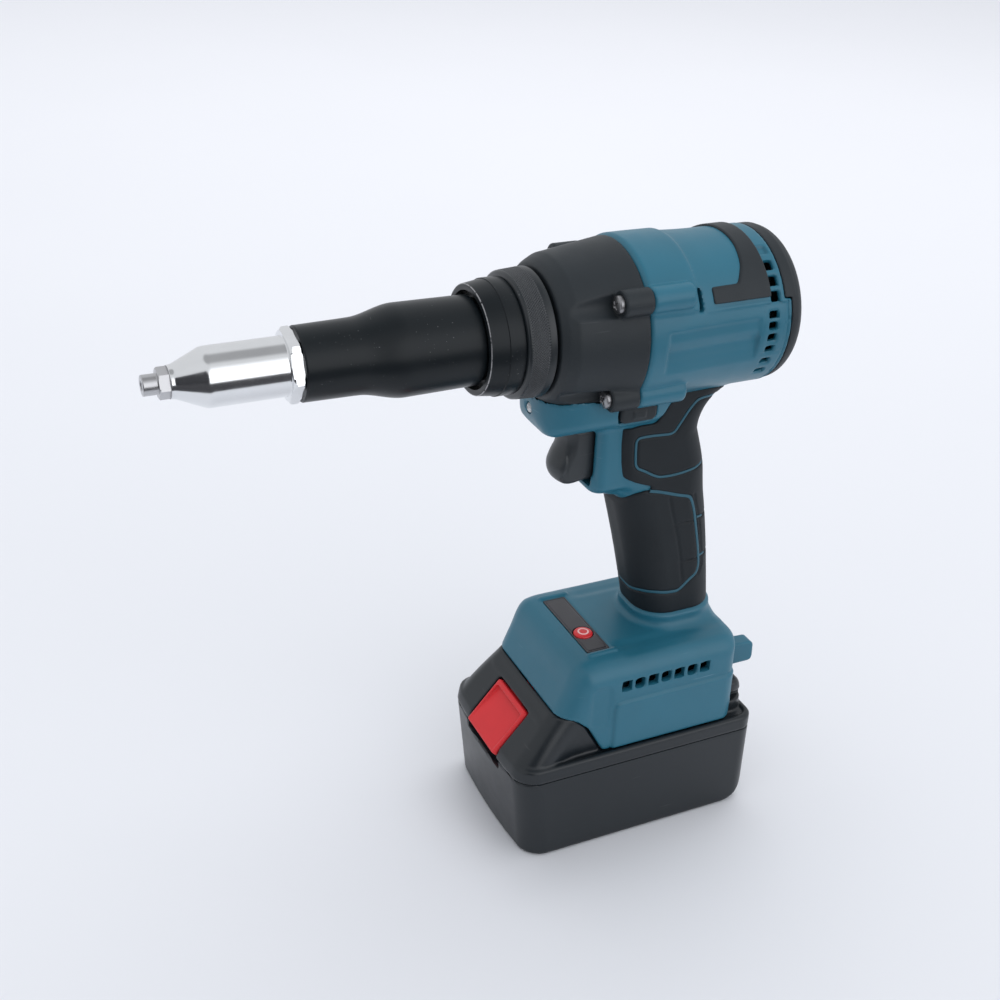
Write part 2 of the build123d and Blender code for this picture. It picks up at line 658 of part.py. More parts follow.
foot_outline = [(-49.2, 65.0), (-49.2, foot_top_z), (25.0, foot_top_z), (40.5, 66.6), (33.4, 66.0),
                (27.6, 60.9), (21.4, 49.6), (20.0, ledge_z + fit), (-33.5, ledge_z + fit), (-36.0, 49.0),
                (-44.0, 62.0)]
foot_round = 7.5
channel_half_width = foot_half_width - foot_wall
channel_top_z = 63.0
with BuildPart() as foot:
    slab(foot_outline, -foot_half_width, foot_half_width)
    fillet(foot.edges().filter_by(Axis.Y).group_by(Axis.Z)[-1], 11.0)
    upper_rim = foot.faces().filter_by(Axis.Y).edges().filter_by(lambda edge: edge.center().Z > 66.7)
    fillet(upper_rim, foot_round)

# Raised ring of the foot round the grip's lower end
pedestal_top_z = 96.5
pedestal_rim = 0.8
with BuildPart() as pedestal:
    add(grip_solid(-pedestal_rim))
    block((-80.0, 80.0), (-40.0, 40.0), (pedestal_top_z, 220.0), mode=Mode.SUBTRACT)

lug_outline = [(-45.0, 77.0), (-61.5, 77.4), (-63.4, 75.5), (-63.6, 66.0), (-61.8, 64.4), (-45.0, 64.4)]
lug_half_width = 19.0
vent_count = 7
vent_size = 4.5
vent_pitch = 6.4
vent_front_x = 10.6
vent_z = 78.5
panel_x = (13.0, 23.8)
panel_half_width = 21.5
panel_recess = 0.8
button_place = (18.6, 7.5)
button_radius = 4.2
rear_vent_x = -42.0
rear_vent_size = (4.4, 2.9)
rear_vent_angles = [-36, -25, -14, -4.8, 4, 12, 24.5, 35.5, 47]
rail_z = (52.6, 56.4)
rail_inner = 26.6
rail_x = (-45.0, 18.0)
terminal_x = (-36.0, -8.0)
terminal_half_width = 17.0
ceiling_z = 66.0
selector_bar_x = (selector_x[0] + 3, selector_x[1] - 3)
selector_bar_z = (selector_z[0] + 0.2, selector_z[0] + 5.4)
led_radius = 2.2
led_place = (0.0, 199.0)
screw_bosses = [(-17.6, 180.0, 9.0), (-22.0, 140.0, 12.0), (-29.5, 101.0, 11.0), (27.0, 73.0, 30.5),
                (-41.0, 74.0, 30.5), (33.0, 194.6, 11.0)]
boss_tube_radius = 4.4
case_screw_radius = 1.5
case_screw_head = 3.0
boss_teal_rear_x = -8.0

# Rooms inside the clamshell, each with its span along X, its half-width and its span along Z
chin_room = ((-8.0, 44.0), selector_floor - 2.0, (189.5, 201.0))
trigger_room = ((0.0, 42.0), 9.0, (163.8, 189.6))
board_room = ((-44.0, 21.0), channel_half_width, (ceiling_z, foot_top_z - 3.0))
battery_room = ((-80.0, 60.0), channel_half_width, (ledge_z - 5, channel_top_z))
latch_notch = ((33.0, 39.5), 7.0, (channel_top_z, channel_top_z + 1.6))
with BuildPart() as shell:
    turn([(case_joint_x, 0), (case_joint_x, band_radius - 0.8), (case_joint_x - 0.8, band_radius),
          (band_rear_x, band_radius), (band_rear_x - 1.4, tube_radius), (tube_rear_x, tube_radius),
          (tube_rear_x, 0)])
    for y, z in boss_places:
        rod(boss_teal_rear_x, case_joint_x, boss_radius, y, z)
    add(chin.part)
    add(grip_solid(pad_thickness))
    block((column_rear_x, column_front_x), (-column_half_width, column_half_width), column_z)
    slab(lip_outline, -lip_half_width, lip_half_width)
    add(foot.part)
    add(pedestal.part)
    slab(lug_outline, -lug_half_width, lug_half_width)

    # Room for the motor, the gear case, the switch and the boards
    rod(tube_rear_x, case_joint_x, tube_bore_radius, mode=Mode.SUBTRACT)
    turn([(case_joint_x, 0), *case_profile, (case_front_x, ring_radius + fit),
          (ring_front_x, ring_radius + fit), (ring_front_x, 0)], mode=Mode.SUBTRACT)
    turn([(tube_rear_x, 0), (tube_rear_x, tube_radius), (cap_rear_x - 1, tube_radius), (cap_rear_x - 1, 0)],
         mode=Mode.SUBTRACT)
    add(gear_case.part, mode=Mode.SUBTRACT)
    add(grip_solid(pad_thickness + wall), mode=Mode.SUBTRACT)
    for x_span, half_width, z_span in (chin_room, trigger_room, board_room, battery_room, latch_notch):
        block(x_span, (-half_width, half_width), z_span, mode=Mode.SUBTRACT)
    block((terminal_x[0] - fit, terminal_x[1] + fit), (-terminal_half_width - fit, terminal_half_width + fit),
          (channel_top_z, ceiling_z), mode=Mode.SUBTRACT)

    # Rails that carry the battery, and tubes for the screws that close the clamshell
    for side in (1, -1):
        block(rail_x, sorted((side * rail_inner, side * (channel_half_width + 1))), rail_z)
    for x, z, y_head in screw_bosses:
        cross_rod(x, z, -y_head - 1.2, y_head + 1.2, boss_tube_radius)

    # Openings: vents, selector recesses, panel seat, light, screw holes
    with BuildSketch(Plane.XZ):
        with Locations(*((vent_front_x - k * vent_pitch, vent_z) for k in range(vent_count))):
            Rectangle(vent_size, vent_size)
    extrude(amount=foot_half_width + 1, both=True, mode=Mode.SUBTRACT)
    for angle in rear_vent_angles:
        for side in (1, -1):
            direction = Vector(0, side * cos(radians(angle)), sin(radians(angle)))
            vent_start = Vector(rear_vent_x, 0, drive_height) + direction * (tube_bore_radius - 2)
            vent_plane = Plane(origin=vent_start, x_dir=(1, 0, 0), z_dir=direction)
            with BuildSketch(vent_plane) as vent:
                Rectangle(*rear_vent_size)
            extrude(vent.sketch, amount=6, mode=Mode.SUBTRACT)
    for side in (1, -1):
        block((selector_x[0] - 2, selector_x[1] + 2), sorted((side * selector_floor, side * 24)),
              (selector_z[0] - 1.4, selector_z[1] + 1.4), mode=Mode.SUBTRACT)
    block(selector_bar_x, (-chin_half_width, chin_half_width), selector_bar_z, mode=Mode.SUBTRACT)
    block(panel_x, (-panel_half_width, panel_half_width), (foot_top_z - panel_recess, foot_top_z + 5),
          mode=Mode.SUBTRACT)
    upright_rod(*button_place, foot_top_z - 10, foot_top_z + 1, button_radius + fit, mode=Mode.SUBTRACT)
    rod(40.0, 55.0, led_radius, *led_place, mode=Mode.SUBTRACT)
    for y, z in boss_places:
        rod(screw_end_x - 1, case_joint_x, screw_radius + 0.1, y, z, mode=Mode.SUBTRACT)
    for x, z, y_head in screw_bosses:
        cross_rod(x, z, -y_head, 8.0, case_screw_radius + 0.1, mode=Mode.SUBTRACT)
        cross_rod(x, z, -40.0, -y_head, case_screw_head + 0.3, mode=Mode.SUBTRACT)

with BuildPart() as left_housing:
    add(shell.part)
    split(bisect_by=middle_plane, keep=Keep.BOTTOM)
left_housing.part.label = "left_housing"
export_step(left_housing.part, "parts/left_housing.step")

with BuildPart() as right_housing:
    add(shell.part)
    split(bisect_by=middle_plane, keep=Keep.TOP)
right_housing.part.label = "right_housing"
export_step(right_housing.part, "parts/right_housing.step")

case_screw_end_y = 7.0
with BuildPart() as housing_screws:
    for x, z, y_head in screw_bosses:
        cross_rod(x, z, -y_head, case_screw_end_y, case_screw_radius)
        cross_rod(x, z, -y_head - 2.2, -y_head, case_screw_head)
housing_screws.part.label = "housing_screws"
export_step(housing_screws.part, "parts/housing_screws.step")

# Soft skin on the grip: the grip's outside less its core, parted along the teal lines
with BuildPart() as grip_skin:
    add(grip_solid(0))
    add(grip_solid(pad_thickness), mode=Mode.SUBTRACT)
    turn([(60.0, 0), (60.0, band_radius), (band_rear_x, band_radius), (band_rear_x - 1.4, tube_radius),
          (-80.0, tube_radius), (-80.0, 0)], mode=Mode.SUBTRACT)
    for outline in (bare_wedge, bare_top):
        slab(outline, -30.0, 30.0, mode=Mode.SUBTRACT)
    block((column_rear_x, column_front_x), (-column_half_width, column_half_width), column_z,
          mode=Mode.SUBTRACT)
    slab(lip_outline, -lip_half_width, lip_half_width, mode=Mode.SUBTRACT)
    add(foot.part, mode=Mode.SUBTRACT)
    add(pedestal.part, mode=Mode.SUBTRACT)
    add(chin.part, mode=Mode.SUBTRACT)
    for line, line_width in ((palm_line, palm_line_width), (thumb_line, thumb_line_width)):
        with BuildSketch(Plane.XZ) as ribbon:
            with BuildLine():
                Polyline(*line)
            trace(line_width=line_width)
        extrude(ribbon.sketch, amount=30, both=True, mode=Mode.SUBTRACT)
    for y, z in boss_places:
        rod(boss_teal_rear_x, case_joint_x, boss_radius, y, z, mode=Mode.SUBTRACT)
    for x, z, y_head in screw_bosses:
        cross_rod(x, z, -40.0, -y_head, case_screw_head + 0.3, mode=Mode.SUBTRACT)

with BuildPart() as grip_pad_left:
    add(grip_skin.part)
    split(bisect_by=middle_plane, keep=Keep.BOTTOM)
grip_pad_left.part.label = "grip_pad_left"
export_step(grip_pad_left.part, "parts/grip_pad_left.step")

with BuildPart() as grip_pad_right:
    add(grip_skin.part)
    split(bisect_by=middle_plane, keep=Keep.TOP)
grip_pad_right.part.label = "grip_pad_right"
export_step(grip_pad_right.part, "parts/grip_pad_right.step")

# Rear cap and shoulder band on the motor tube
cap_wall = 2.4
cap_seat_x = -47.4
with BuildPart() as rear_cap:
    turn([(cap_seat_x, tube_bore_radius - 0.1), (tube_rear_x, tube_bore_radius - 0.1),
          (tube_rear_x, tube_radius - 0.2),
          (tube_rear_x - 3.6, tube_radius - 0.6), (tube_rear_x - 6.4, tube_radius - 2.6),
          (cap_rear_x, tube_radius - 6.0), (cap_rear_x, 0), (rear_bearing_x[0], 0),
          (rear_bearing_x[0], bearing_radius), (rear_bearing_x[1], bearing_radius),
          (rear_bearing_x[1], bearing_radius + 2), (cap_rear_x + cap_wall, bearing_radius + 2.4),
          (cap_rear_x + cap_wall, tube_radius - 7.0), (tube_rear_x - 3.0, tube_radius - 4.4),
          (cap_seat_x, tube_radius - 4.4)])
rear_cap.part.label = "rear_cap"
export_step(rear_cap.part, "parts/rear_cap.step")

band_thickness = 0.9
pad_front_x = -26.3
pad_rear_x = -38.6
leg_front_x = -14.6
leg_z = (243.4, 249.0)
with BuildPart() as shoulder_band:
    turn([(pad_rear_x, tube_radius), (pad_rear_x, tube_radius + band_thickness),
          (leg_front_x, tube_radius + band_thickness), (leg_front_x, tube_radius)])
    slab([(pad_rear_x, leg_z[0]), (leg_front_x, leg_z[0]), (leg_front_x, leg_z[1]), (pad_front_x, leg_z[1]),
          (pad_front_x, drive_height + 40), (pad_rear_x, drive_height + 40)], -40, 40, mode=Mode.INTERSECT)
shoulder_band.part.label = "shoulder_band"
export_step(shoulder_band.part, "parts/shoulder_band.step")

# Trigger, its switch and spring, and the selector above it
trigger_half_width = 8.3
trigger_rear_x = 18.0
trigger_top_z = 188.6
trigger_bottom_z = 164.6
trigger_head = (36.0, trigger_top_z)
trigger_toe = (30.0, trigger_bottom_z)
trigger_round = 3.0
stem_half_width = 5.0
stem_z = (170.0, 183.0)
stem_x = (11.0, trigger_rear_x + 1.0)
with BuildPart() as trigger:
    with BuildSketch(Plane(origin=(0, -trigger_half_width, 0), x_dir=(1, 0, 0), z_dir=(0, -1, 0))):
        with BuildLine():
            Spline(trigger_head, (35.2, 184.0), (37.6, 176.6), (35.6, 169.6), trigger_toe,
                   tangents=[(-0.25, -1), (-1, -0.5)])
            Polyline(trigger_toe, (trigger_rear_x, trigger_bottom_z), (trigger_rear_x, trigger_top_z),
                     trigger_head)
        make_face()
    extrude(amount=-2 * trigger_half_width)
    finger_edges = trigger.faces().filter_by(Axis.Y).edges().filter_by(GeomType.BSPLINE)
    fillet(finger_edges, trigger_round)
    block(stem_x, (-stem_half_width, stem_half_width), stem_z)
trigger.part.label = "trigger"
export_step(trigger.part, "parts/trigger.step")

switch_half_width = 9.0
switch_z = (164.6, 189.0)
switch_x = (-13.0, stem_x[0] - trigger_travel - 0.5)
plunger_z = sum(stem_z) / 2
with BuildPart() as trigger_switch:
    block(switch_x, (-switch_half_width, switch_half_width), switch_z)
    rod(switch_x[1], switch_x[1] + 0.3, 4.0, z=plunger_z)
trigger_switch.part.label = "trigger_switch"
export_step(trigger_switch.part, "parts/trigger_switch.step")

with BuildPart() as trigger_spring:
    coil(across(switch_x[1] + 0.9, z=plunger_z), 3.0, 0.4, 4, stem_x[0] - switch_x[1] - 1.9)
trigger_spring.part.label = "trigger_spring"
export_step(trigger_spring.part, "parts/trigger_spring.step")

selector_face = 20.8
selector_back = selector_floor + selector_travel + fit
with BuildPart() as selector:
    block((selector_bar_x[0] + fit, selector_bar_x[1] - fit), (-selector_back, selector_back),
          (selector_bar_z[0] + fit, selector_bar_z[1] - fit))
    for side in (1, -1):
        block(selector_x, sorted((side * selector_back, side * selector_face)), selector_z)
    chamfer(selector.faces().filter_by(Axis.Y).sort_by(Axis.Y)[-1].edges(), 0.8)
    chamfer(selector.faces().filter_by(Axis.Y).sort_by(Axis.Y)[0].edges(), 0.8)
selector.part.label = "selector"
export_step(selector.part, "parts/selector.step")

# Work light, control panel, power button and boards
led_rear_x = 43.5
led_front_x = 48.2
with BuildPart() as led_lens:
    rod(led_rear_x, led_front_x, led_radius, *led_place)
led_lens.part.label = "led_lens"
export_step(led_lens.part, "parts/led_lens.step")

with BuildPart() as led_board:
    block((led_rear_x - 1.6, led_rear_x), (-6.0, 6.0), (192.0, 200.6))
led_board.part.label = "led_board"
export_step(led_board.part, "parts/led_board.step")

with BuildPart() as control_panel:
    block(panel_x, (-panel_half_width, panel_half_width), (foot_top_z - panel_recess, foot_top_z + 0.2))
    upright_rod(*button_place, foot_top_z - 2, foot_top_z + 2, button_radius + fit, mode=Mode.SUBTRACT)
control_panel.part.label = "control_panel"
export_step(control_panel.part, "parts/control_panel.step")

button_z = (83.6, foot_top_z + 1.0)
with BuildPart() as power_button:
    upright_rod(*button_place, *button_z, button_radius)
    fillet(power_button.edges().group_by(Axis.Z)[-1], 0.6)
power_button.part.label = "power_button"
export_step(power_button.part, "parts/power_button.step")

with BuildPart() as control_board:
    block((3.0, 20.6), (-24.0, 24.0), (80.6, 82.2))
control_board.part.label = "control_board"
export_step(control_board.part, "parts/control_board.step")

blade_x = (-32.0, -12.0)
blade_places = (-11.0, 11.0)
blade_half = 0.5
with BuildPart() as terminal_block:
    block(terminal_x, (-terminal_half_width, terminal_half_width), (channel_top_z + 0.2, ceiling_z + 4))
    block((terminal_x[0] - 3, terminal_x[1] + 3), (-terminal_half_width - 3, terminal_half_width + 3),
          (ceiling_z, ceiling_z + 2))
    for y in blade_places:
        block(blade_x, (y - blade_half, y + blade_half), (55.6, channel_top_z + 0.2))
terminal_block.part.label = "terminal_block"
export_step(terminal_block.part, "parts/terminal_block.step")

# Battery pack: one plan outline for both case halves
base_round = 12.0
pack_rear_corner = 7.0
pack_front_corner = 9.0
case_wall = 2.0
pillar_places = [(x, y) for x in (-49.3, 49.3) for y in (-30.0, 30.0)]
pillar_radius = 2.6
pillar_head_radius = 2.1
pillar_head_z = (3.8, 6.0)
pocket_half_width = 16.0
pocket_rear_x = 58.0
pocket_floor_z = 36.4


def pack_plan(inset, z=0.0):
    """Plan of the pack at height z: straight sides, a bowed front and round corners."""
    half_length = battery_half_length - inset
    half_width = battery_half_width - inset
    shoulder_x = battery_front_x - battery_bow - inset
    nose_x = battery_front_x - inset
    with BuildSketch(Plane.XY.offset(z)) as plan:
        with BuildLine():
            ThreePointArc((shoulder_x, -half_width), (nose_x, 0), (shoulder_x, half_width))
            Polyline((shoulder_x, half_width), (-half_length, half_width), (-half_length, -half_width),
                     (shoulder_x, -half_width))
        make_face()
        fillet(plan.vertices().group_by(Axis.X)[0], pack_rear_corner - inset)
        fillet(plan.vertices().group_by(Axis.X)[-1], pack_front_corner - inset)
    return plan.sketch


def pack_body(inset):
    """Lower case drawn in by inset, with its large round at the rear base."""
    rear = inset - battery_half_length
    bend = base_round - inset
    corner = (rear + bend, inset + bend)
    with BuildPart() as body:
        extrude(pack_plan(inset), amount=seam_z)
        with BuildSketch(Plane.XZ) as profile:
            with BuildLine():
                ThreePointArc((rear, corner[1]),
                              (corner[0] - bend * cos(pi / 4), corner[1] - bend * sin(pi / 4)),
                              (corner[0], inset))
                Polyline((corner[0], inset), (battery_base_front_x - inset, inset),
                         (battery_front_x - inset, seam_z), (rear, seam_z), (rear, corner[1]))
            make_face()
        extrude(profile.sketch, amount=battery_half_width + 1, both=True, mode=Mode.INTERSECT)
    return body.part


with BuildPart() as battery_lower_case:
    add(pack_body(0))
    add(pack_body(case_wall), mode=Mode.SUBTRACT)
    for x, y in pillar_places:
        upright_rod(x, y, case_wall, seam_z, pillar_radius)
    for x, y in pillar_places:
        upright_rod(x, y, -1.0, seam_z, case_screw_radius + 0.2, mode=Mode.SUBTRACT)
        upright_rod(x, y, -1.0, pillar_head_z[1], pillar_head_radius + 0.2, mode=Mode.SUBTRACT)
    block((pocket_rear_x, 70.0), (-pocket_half_width, pocket_half_width), (pocket_floor_z, seam_z),
          mode=Mode.SUBTRACT)
battery_lower_case.part.label = "battery_lower_case"
export_step(battery_lower_case.part, "parts/battery_lower_case.step")

rail_block_half = channel_half_width - fit
rail_block_top = channel_top_z - 0.5
rail_block_rear_x = -54.0
groove_depth_y = rail_inner - 0.6
groove_z = (rail_z[0] - 0.5, rail_z[1] + 0.5)
cheek_half_width = 33.4
slope_foot = (62.2, 42.6)
slope_head = (41.2, 67.0)
cheek_outline = [(20.6, seam_z), (20.6, ledge_z), (22.0, 49.6), (28.2, 60.7), (33.9, 65.4), (40.9, 66.0),
                 slope_head, slope_foot, (slope_foot[0], seam_z)]
pocket_outline = [(46.4, 64.2), (66.0, 44.0), (66.0, pocket_floor_z), (pocket_rear_x, pocket_floor_z),
                  (43.0, 56.4), (43.0, 60.2)]
block_front_x = 46.0
block_corner = 9.0
hollow_x = (-51.0, 20.0)
hollow_half_width = 24.4
front_hollow = [(20.0, seam_z), (20.0, 58.0), (42.0, 58.0), (56.0, 42.0), (56.0, seam_z)]
front_hollow_half_width = 30.0
latch_x = (33.6, 46.0)
with BuildPart() as battery_upper_case:
    extrude(pack_plan(0, seam_z), amount=ledge_z - seam_z)
    fillet(battery_upper_case.edges().group_by(Axis.Z)[-1], 2.2)
    with BuildSketch(Plane.XY.offset(ledge_z - 3)) as block_plan:
        with Locations(((rail_block_rear_x + block_front_x) / 2, 0)):
            Rectangle(block_front_x - rail_block_rear_x, 2 * rail_block_half)
        fillet(block_plan.vertices().group_by(Axis.X)[0], block_corner)
    extrude(block_plan.sketch, amount=rail_block_top - ledge_z + 3)
    fillet(battery_upper_case.edges().group_by(Axis.Z)[-1].sort_by(Axis.X)[:1], 4.0)
    cheeks = extrude(pack_plan(0.3, seam_z), amount=30, mode=Mode.PRIVATE)
    with BuildSketch(Plane.XZ) as cheek_side:
        with BuildLine():
            Polyline(*cheek_outline, close=True)
        make_face()
    cheek_slab = extrude(cheek_side.sketch, amount=cheek_half_width, both=True, mode=Mode.PRIVATE)
    add(cheeks & cheek_slab)
    block((-60.0, slope_head[0] - 0.2), (-rail_block_half - 0.3, rail_block_half + 0.3),
          (rail_block_top, 70.0), mode=Mode.SUBTRACT)

    # Grooves for the rails, slots for the blades, the button's pocket and the hollow inside
    for side in (1, -1):
        block((-70.0, rail_x[1] + 1.5), sorted((side * groove_depth_y, side * (channel_half_width + 0.5))),
              groove_z, mode=Mode.SUBTRACT)
    block(hollow_x, (-hollow_half_width, hollow_half_width), (seam_z, rail_block_top - 2.2),
          mode=Mode.SUBTRACT)
    extrude(pack_plan(case_wall, seam_z), amount=ledge_z - seam_z - 2.2, mode=Mode.SUBTRACT)
    slab(front_hollow, -front_hollow_half_width, front_hollow_half_width, mode=Mode.SUBTRACT)
    slab(pocket_outline, -pocket_half_width, pocket_half_width, mode=Mode.SUBTRACT)
    block(latch_x, (-8.0, 8.0), (50.0, rail_block_top + 1), mode=Mode.SUBTRACT)
    for y in blade_places:
        block((-60.0, blade_x[1] + 3), (y - 1.6, y + 1.6), (54.6, rail_block_top + 1), mode=Mode.SUBTRACT)
    for x, y in pillar_places:
        upright_rod(x, y, seam_z, ledge_z - 1, pillar_radius)
        upright_rod(x, y, seam_z, ledge_z - 2, case_screw_radius + 0.1, mode=Mode.SUBTRACT)
battery_upper_case.part.label = "battery_upper_case"
export_step(battery_upper_case.part, "parts/battery_upper_case.step")

with BuildPart() as battery_screws:
    for x, y in pillar_places:
        upright_rod(x, y, pillar_head_z[1], ledge_z - 2.5, case_screw_radius)
        upright_rod(x, y, *pillar_head_z, pillar_head_radius)
battery_screws.part.label = "battery_screws"
export_step(battery_screws.part, "parts/battery_screws.step")

button_half_width = 15.4
button_outline = [(48.0, 62.0), (62.6, 43.4), (60.4, 40.4), (58.6, 42.0), (45.0, 59.0)]
latch_half_width = 6.0
with BuildPart() as release_button:
    slab(button_outline, -button_half_width, button_half_width)
    fillet(release_button.edges().filter_by(Axis.Y).sort_by(Axis.X)[-1], 0.8)
    slab([(45.2, 59.6), (48.4, 55.4), (46.0, 53.6), (35.0, 53.6), (35.0, rail_block_top - 0.3),
          (41.0, rail_block_top - 0.3), (42.4, 59.6)], -latch_half_width, latch_half_width)
    slab([(50.2, 61.2), (53.0, 57.6), (51.6, 56.6), (49.0, 60.0)], -10.0, 10.0, mode=Mode.SUBTRACT)
release_button.part.label = "release_button"
export_step(release_button.part, "parts/release_button.step")

cell_radius = 9.1
cell_half_length = 32.5
cell_pitch = (18.6, 18.6)
cell_places = [(k * cell_pitch[0], 11.9 + row * cell_pitch[1]) for row in range(2) for k in range(-2, 3)]
with BuildPart() as cells:
    for x, z in cell_places:
        cross_rod(x, z, -cell_half_length, cell_half_length, cell_radius)
cells.part.label = "cells"
export_step(cells.part, "parts/cells.step")

holder_outline = [(-47.0, 13.0), (-39.0, 3.0), (47.0, 3.0), (47.0, 39.6), (-47.0, 39.6)]
with BuildPart() as cell_holders:
    for y_span in ((-24.0, -19.0), (19.0, 24.0)):
        slab(holder_outline, *y_span)
    for x, z in cell_places:
        cross_rod(x, z, -40.0, 40.0, cell_radius + 0.05, mode=Mode.SUBTRACT)
cell_holders.part.label = "cell_holders"
export_step(cell_holders.part, "parts/cell_holders.step")

board_z = (41.6, 43.2)
with BuildPart() as battery_board:
    block((-44.0, 30.0), (-22.0, 22.0), board_z)
battery_board.part.label = "battery_board"
export_step(battery_board.part, "parts/battery_board.step")

with BuildPart() as battery_terminals:
    for y in blade_places:
        for side in (1, -1):
            block((-30.0, -14.0), sorted((y + side * 0.9, y + side * 1.5)), (board_z[1], 59.0))
battery_terminals.part.label = "battery_terminals"
export_step(battery_terminals.part, "parts/battery_terminals.step")

spring_places = [(38.0, -3.6), (38.0, 3.6)]
spring_base_z = board_z[1] + 0.5
with BuildPart() as release_springs:
    for x, y in spring_places:
        coil(Plane(origin=(x, y, spring_base_z)), 2.0, 0.35, 5, 9.0)
release_springs.part.label = "release_springs"
export_step(release_springs.part, "parts/release_springs.step")
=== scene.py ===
"""Cordless rivet gun: its finished looks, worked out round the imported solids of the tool.

Shapes are written in millimetres in the solids' own frame: +X to the nose, +Y to the tool's left, +Z up.
"""

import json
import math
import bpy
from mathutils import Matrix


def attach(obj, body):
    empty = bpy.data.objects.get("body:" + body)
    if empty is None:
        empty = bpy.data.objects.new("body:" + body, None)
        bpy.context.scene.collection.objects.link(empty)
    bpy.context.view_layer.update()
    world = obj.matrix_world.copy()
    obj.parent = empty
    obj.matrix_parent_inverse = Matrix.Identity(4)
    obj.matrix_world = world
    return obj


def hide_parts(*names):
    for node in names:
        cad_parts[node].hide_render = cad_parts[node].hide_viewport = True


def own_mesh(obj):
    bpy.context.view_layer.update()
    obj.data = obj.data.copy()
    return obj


bl_info = {
    "name": "Cordless rivet gun",
    "version": (1, 0, 0),
    "blender": (4, 5, 0),
    "location": "3D View > Sidebar > Rivet gun",
    "description": "Builds the finished looks of a cordless rivet gun round its solids",
    "category": "Add Mesh",
}

from functools import partial, reduce

import bmesh
import bpy
import numpy as np
from bpy.props import FloatProperty, FloatVectorProperty, IntProperty, PointerProperty
from mathutils import Matrix, Vector

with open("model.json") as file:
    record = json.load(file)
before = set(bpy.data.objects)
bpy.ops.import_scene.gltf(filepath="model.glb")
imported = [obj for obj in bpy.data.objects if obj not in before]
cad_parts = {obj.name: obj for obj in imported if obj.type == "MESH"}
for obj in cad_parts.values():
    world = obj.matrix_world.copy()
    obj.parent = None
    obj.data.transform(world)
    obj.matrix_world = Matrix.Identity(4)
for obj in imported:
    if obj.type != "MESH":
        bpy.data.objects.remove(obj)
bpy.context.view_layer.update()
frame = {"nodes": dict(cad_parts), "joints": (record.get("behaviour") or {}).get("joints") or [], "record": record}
finishes = {}

# One millimetre, the distance at which points merge and half the gap of the middle seam, in metres
MM = 0.001
MERGE_DISTANCE = 2e-6
SEAM_GAP = 1e-5

# From here on in millimetres: the height of the drive's line
DRIVE_Z = 230.0

# Nose and gear case: the turn of the hexagons, the bosses' places across and up, and places along the drive
HEXAGON_TURN = math.radians(20)
UPPER_BOSS = (28.0, 248.0)
LOWER_BOSS = (23.6, 208.4)
BOSS_RADIUS = 5.2
CASE_JOINT_X = 13.2
CASE_FRONT_X = 46.4
SCREW_FACE_X = 25.0
BARREL_END_X = 139.0
COLLAR_FRONT_X = 72.6
RING_SPAN_X = (47.5, 58.8)

# Clamshell and grip
TUBE_RADIUS = 31.7
GRIP_HALF_WIDTH = 16.2
SELECTOR_X = 8.1
SELECTOR_Z = 198.2
LIGHT_Z = 198.2
SCREW_HOLE_RADIUS = 3.3
VENT_START_X = 10.6
VENT_PITCH = 6.4
POWER_X = 18.6
POWER_Y = 7.5
POWER_HOLE_RADIUS = 4.6

# Battery
PACK_MIDDLE_X = 2.8
PACK_HALF_LENGTH = 58.8
PACK_HALF_WIDTH = 37.5
SEAM_Z = 40.35
LEDGE_Z = 47.0


# Fields: each gives, at every point, the distance to a surface, below zero inside it


def join(a, b, r):
    """Both fields together, with a hollow fillet: its radius r less the distance into the corner."""
    return np.maximum(r, np.minimum(a, b)) - np.hypot(np.maximum(r - a, 0), np.maximum(r - b, 0))


def keep(a, b, r):
    """What both fields share, with its edge rounded to radius r: the distance out of the corner less r."""
    return np.minimum(-r, np.maximum(a, b)) + np.hypot(np.maximum(r + a, 0), np.maximum(r + b, 0))


def cut(a, b, r):
    """The first field less the second, with the edge rounded to radius r."""
    return keep(a, -b, r)


def together(*fields):
    """Fields put together without a fillet: the least of them."""
    return reduce(np.minimum, fields)


def shared(*fields):
    """What the fields share, with sharp edges: the greatest of them."""
    return reduce(np.maximum, fields)


def span(v, low, high):
    """Distance outside the stretch from low to high of one coordinate."""
    return np.abs(v - (low + high) / 2) - (high - low) / 2


def plate(a, b, half_a, half_b, corner):
    """Rectangle about zero with round corners: distance to the inner rectangle less the corner's radius."""
    da, db = np.abs(a) - (half_a - corner), np.abs(b) - (half_b - corner)
    return np.hypot(np.maximum(da, 0), np.maximum(db, 0)) + np.minimum(np.maximum(da, db), 0) - corner


def brick(x, y, z, xs, ys, zs, r):
    """Box between three spans with every edge rounded to r."""
    return keep(keep(span(x, *xs), span(y, *ys), r), span(z, *zs), r)


def outline(a, b, points):
    """Distance in a plane to the nearest side of a closed outline, below zero after odd crossings."""
    nearest, inside = 1e9, False
    for (ax, ay), (bx, by) in zip(points, np.roll(points, -1, 0)):
        ex, ey = float(bx - ax), float(by - ay)
        px, py = a - float(ax), b - float(ay)
        t = np.clip((px * ex + py * ey) / (ex * ex + ey * ey), 0, 1)
        nearest = np.minimum(nearest, (px - t * ex) ** 2 + (py - t * ey) ** 2)
        if ey:
            inside = inside ^ (((py < 0) != (b < float(by))) & (px < py * ex / ey))
    return np.where(inside, -1, 1) * np.sqrt(nearest)


def near_path(x, y, z, points):
    """Least distance to a run of straight stretches through points in space."""
    nearest = 1e9
    for a, b in zip(points[:-1], points[1:]):
        e = b - a
        t = np.clip(((x - a[0]) * e[0] + (y - a[1]) * e[1] + (z - a[2]) * e[2]) / (e @ e), 0, 1)
        gap = (x - a[0] - t * e[0]) ** 2 + (y - a[1] - t * e[1]) ** 2 + (z - a[2] - t * e[2]) ** 2
        nearest = np.minimum(nearest, gap)
    return np.sqrt(nearest)


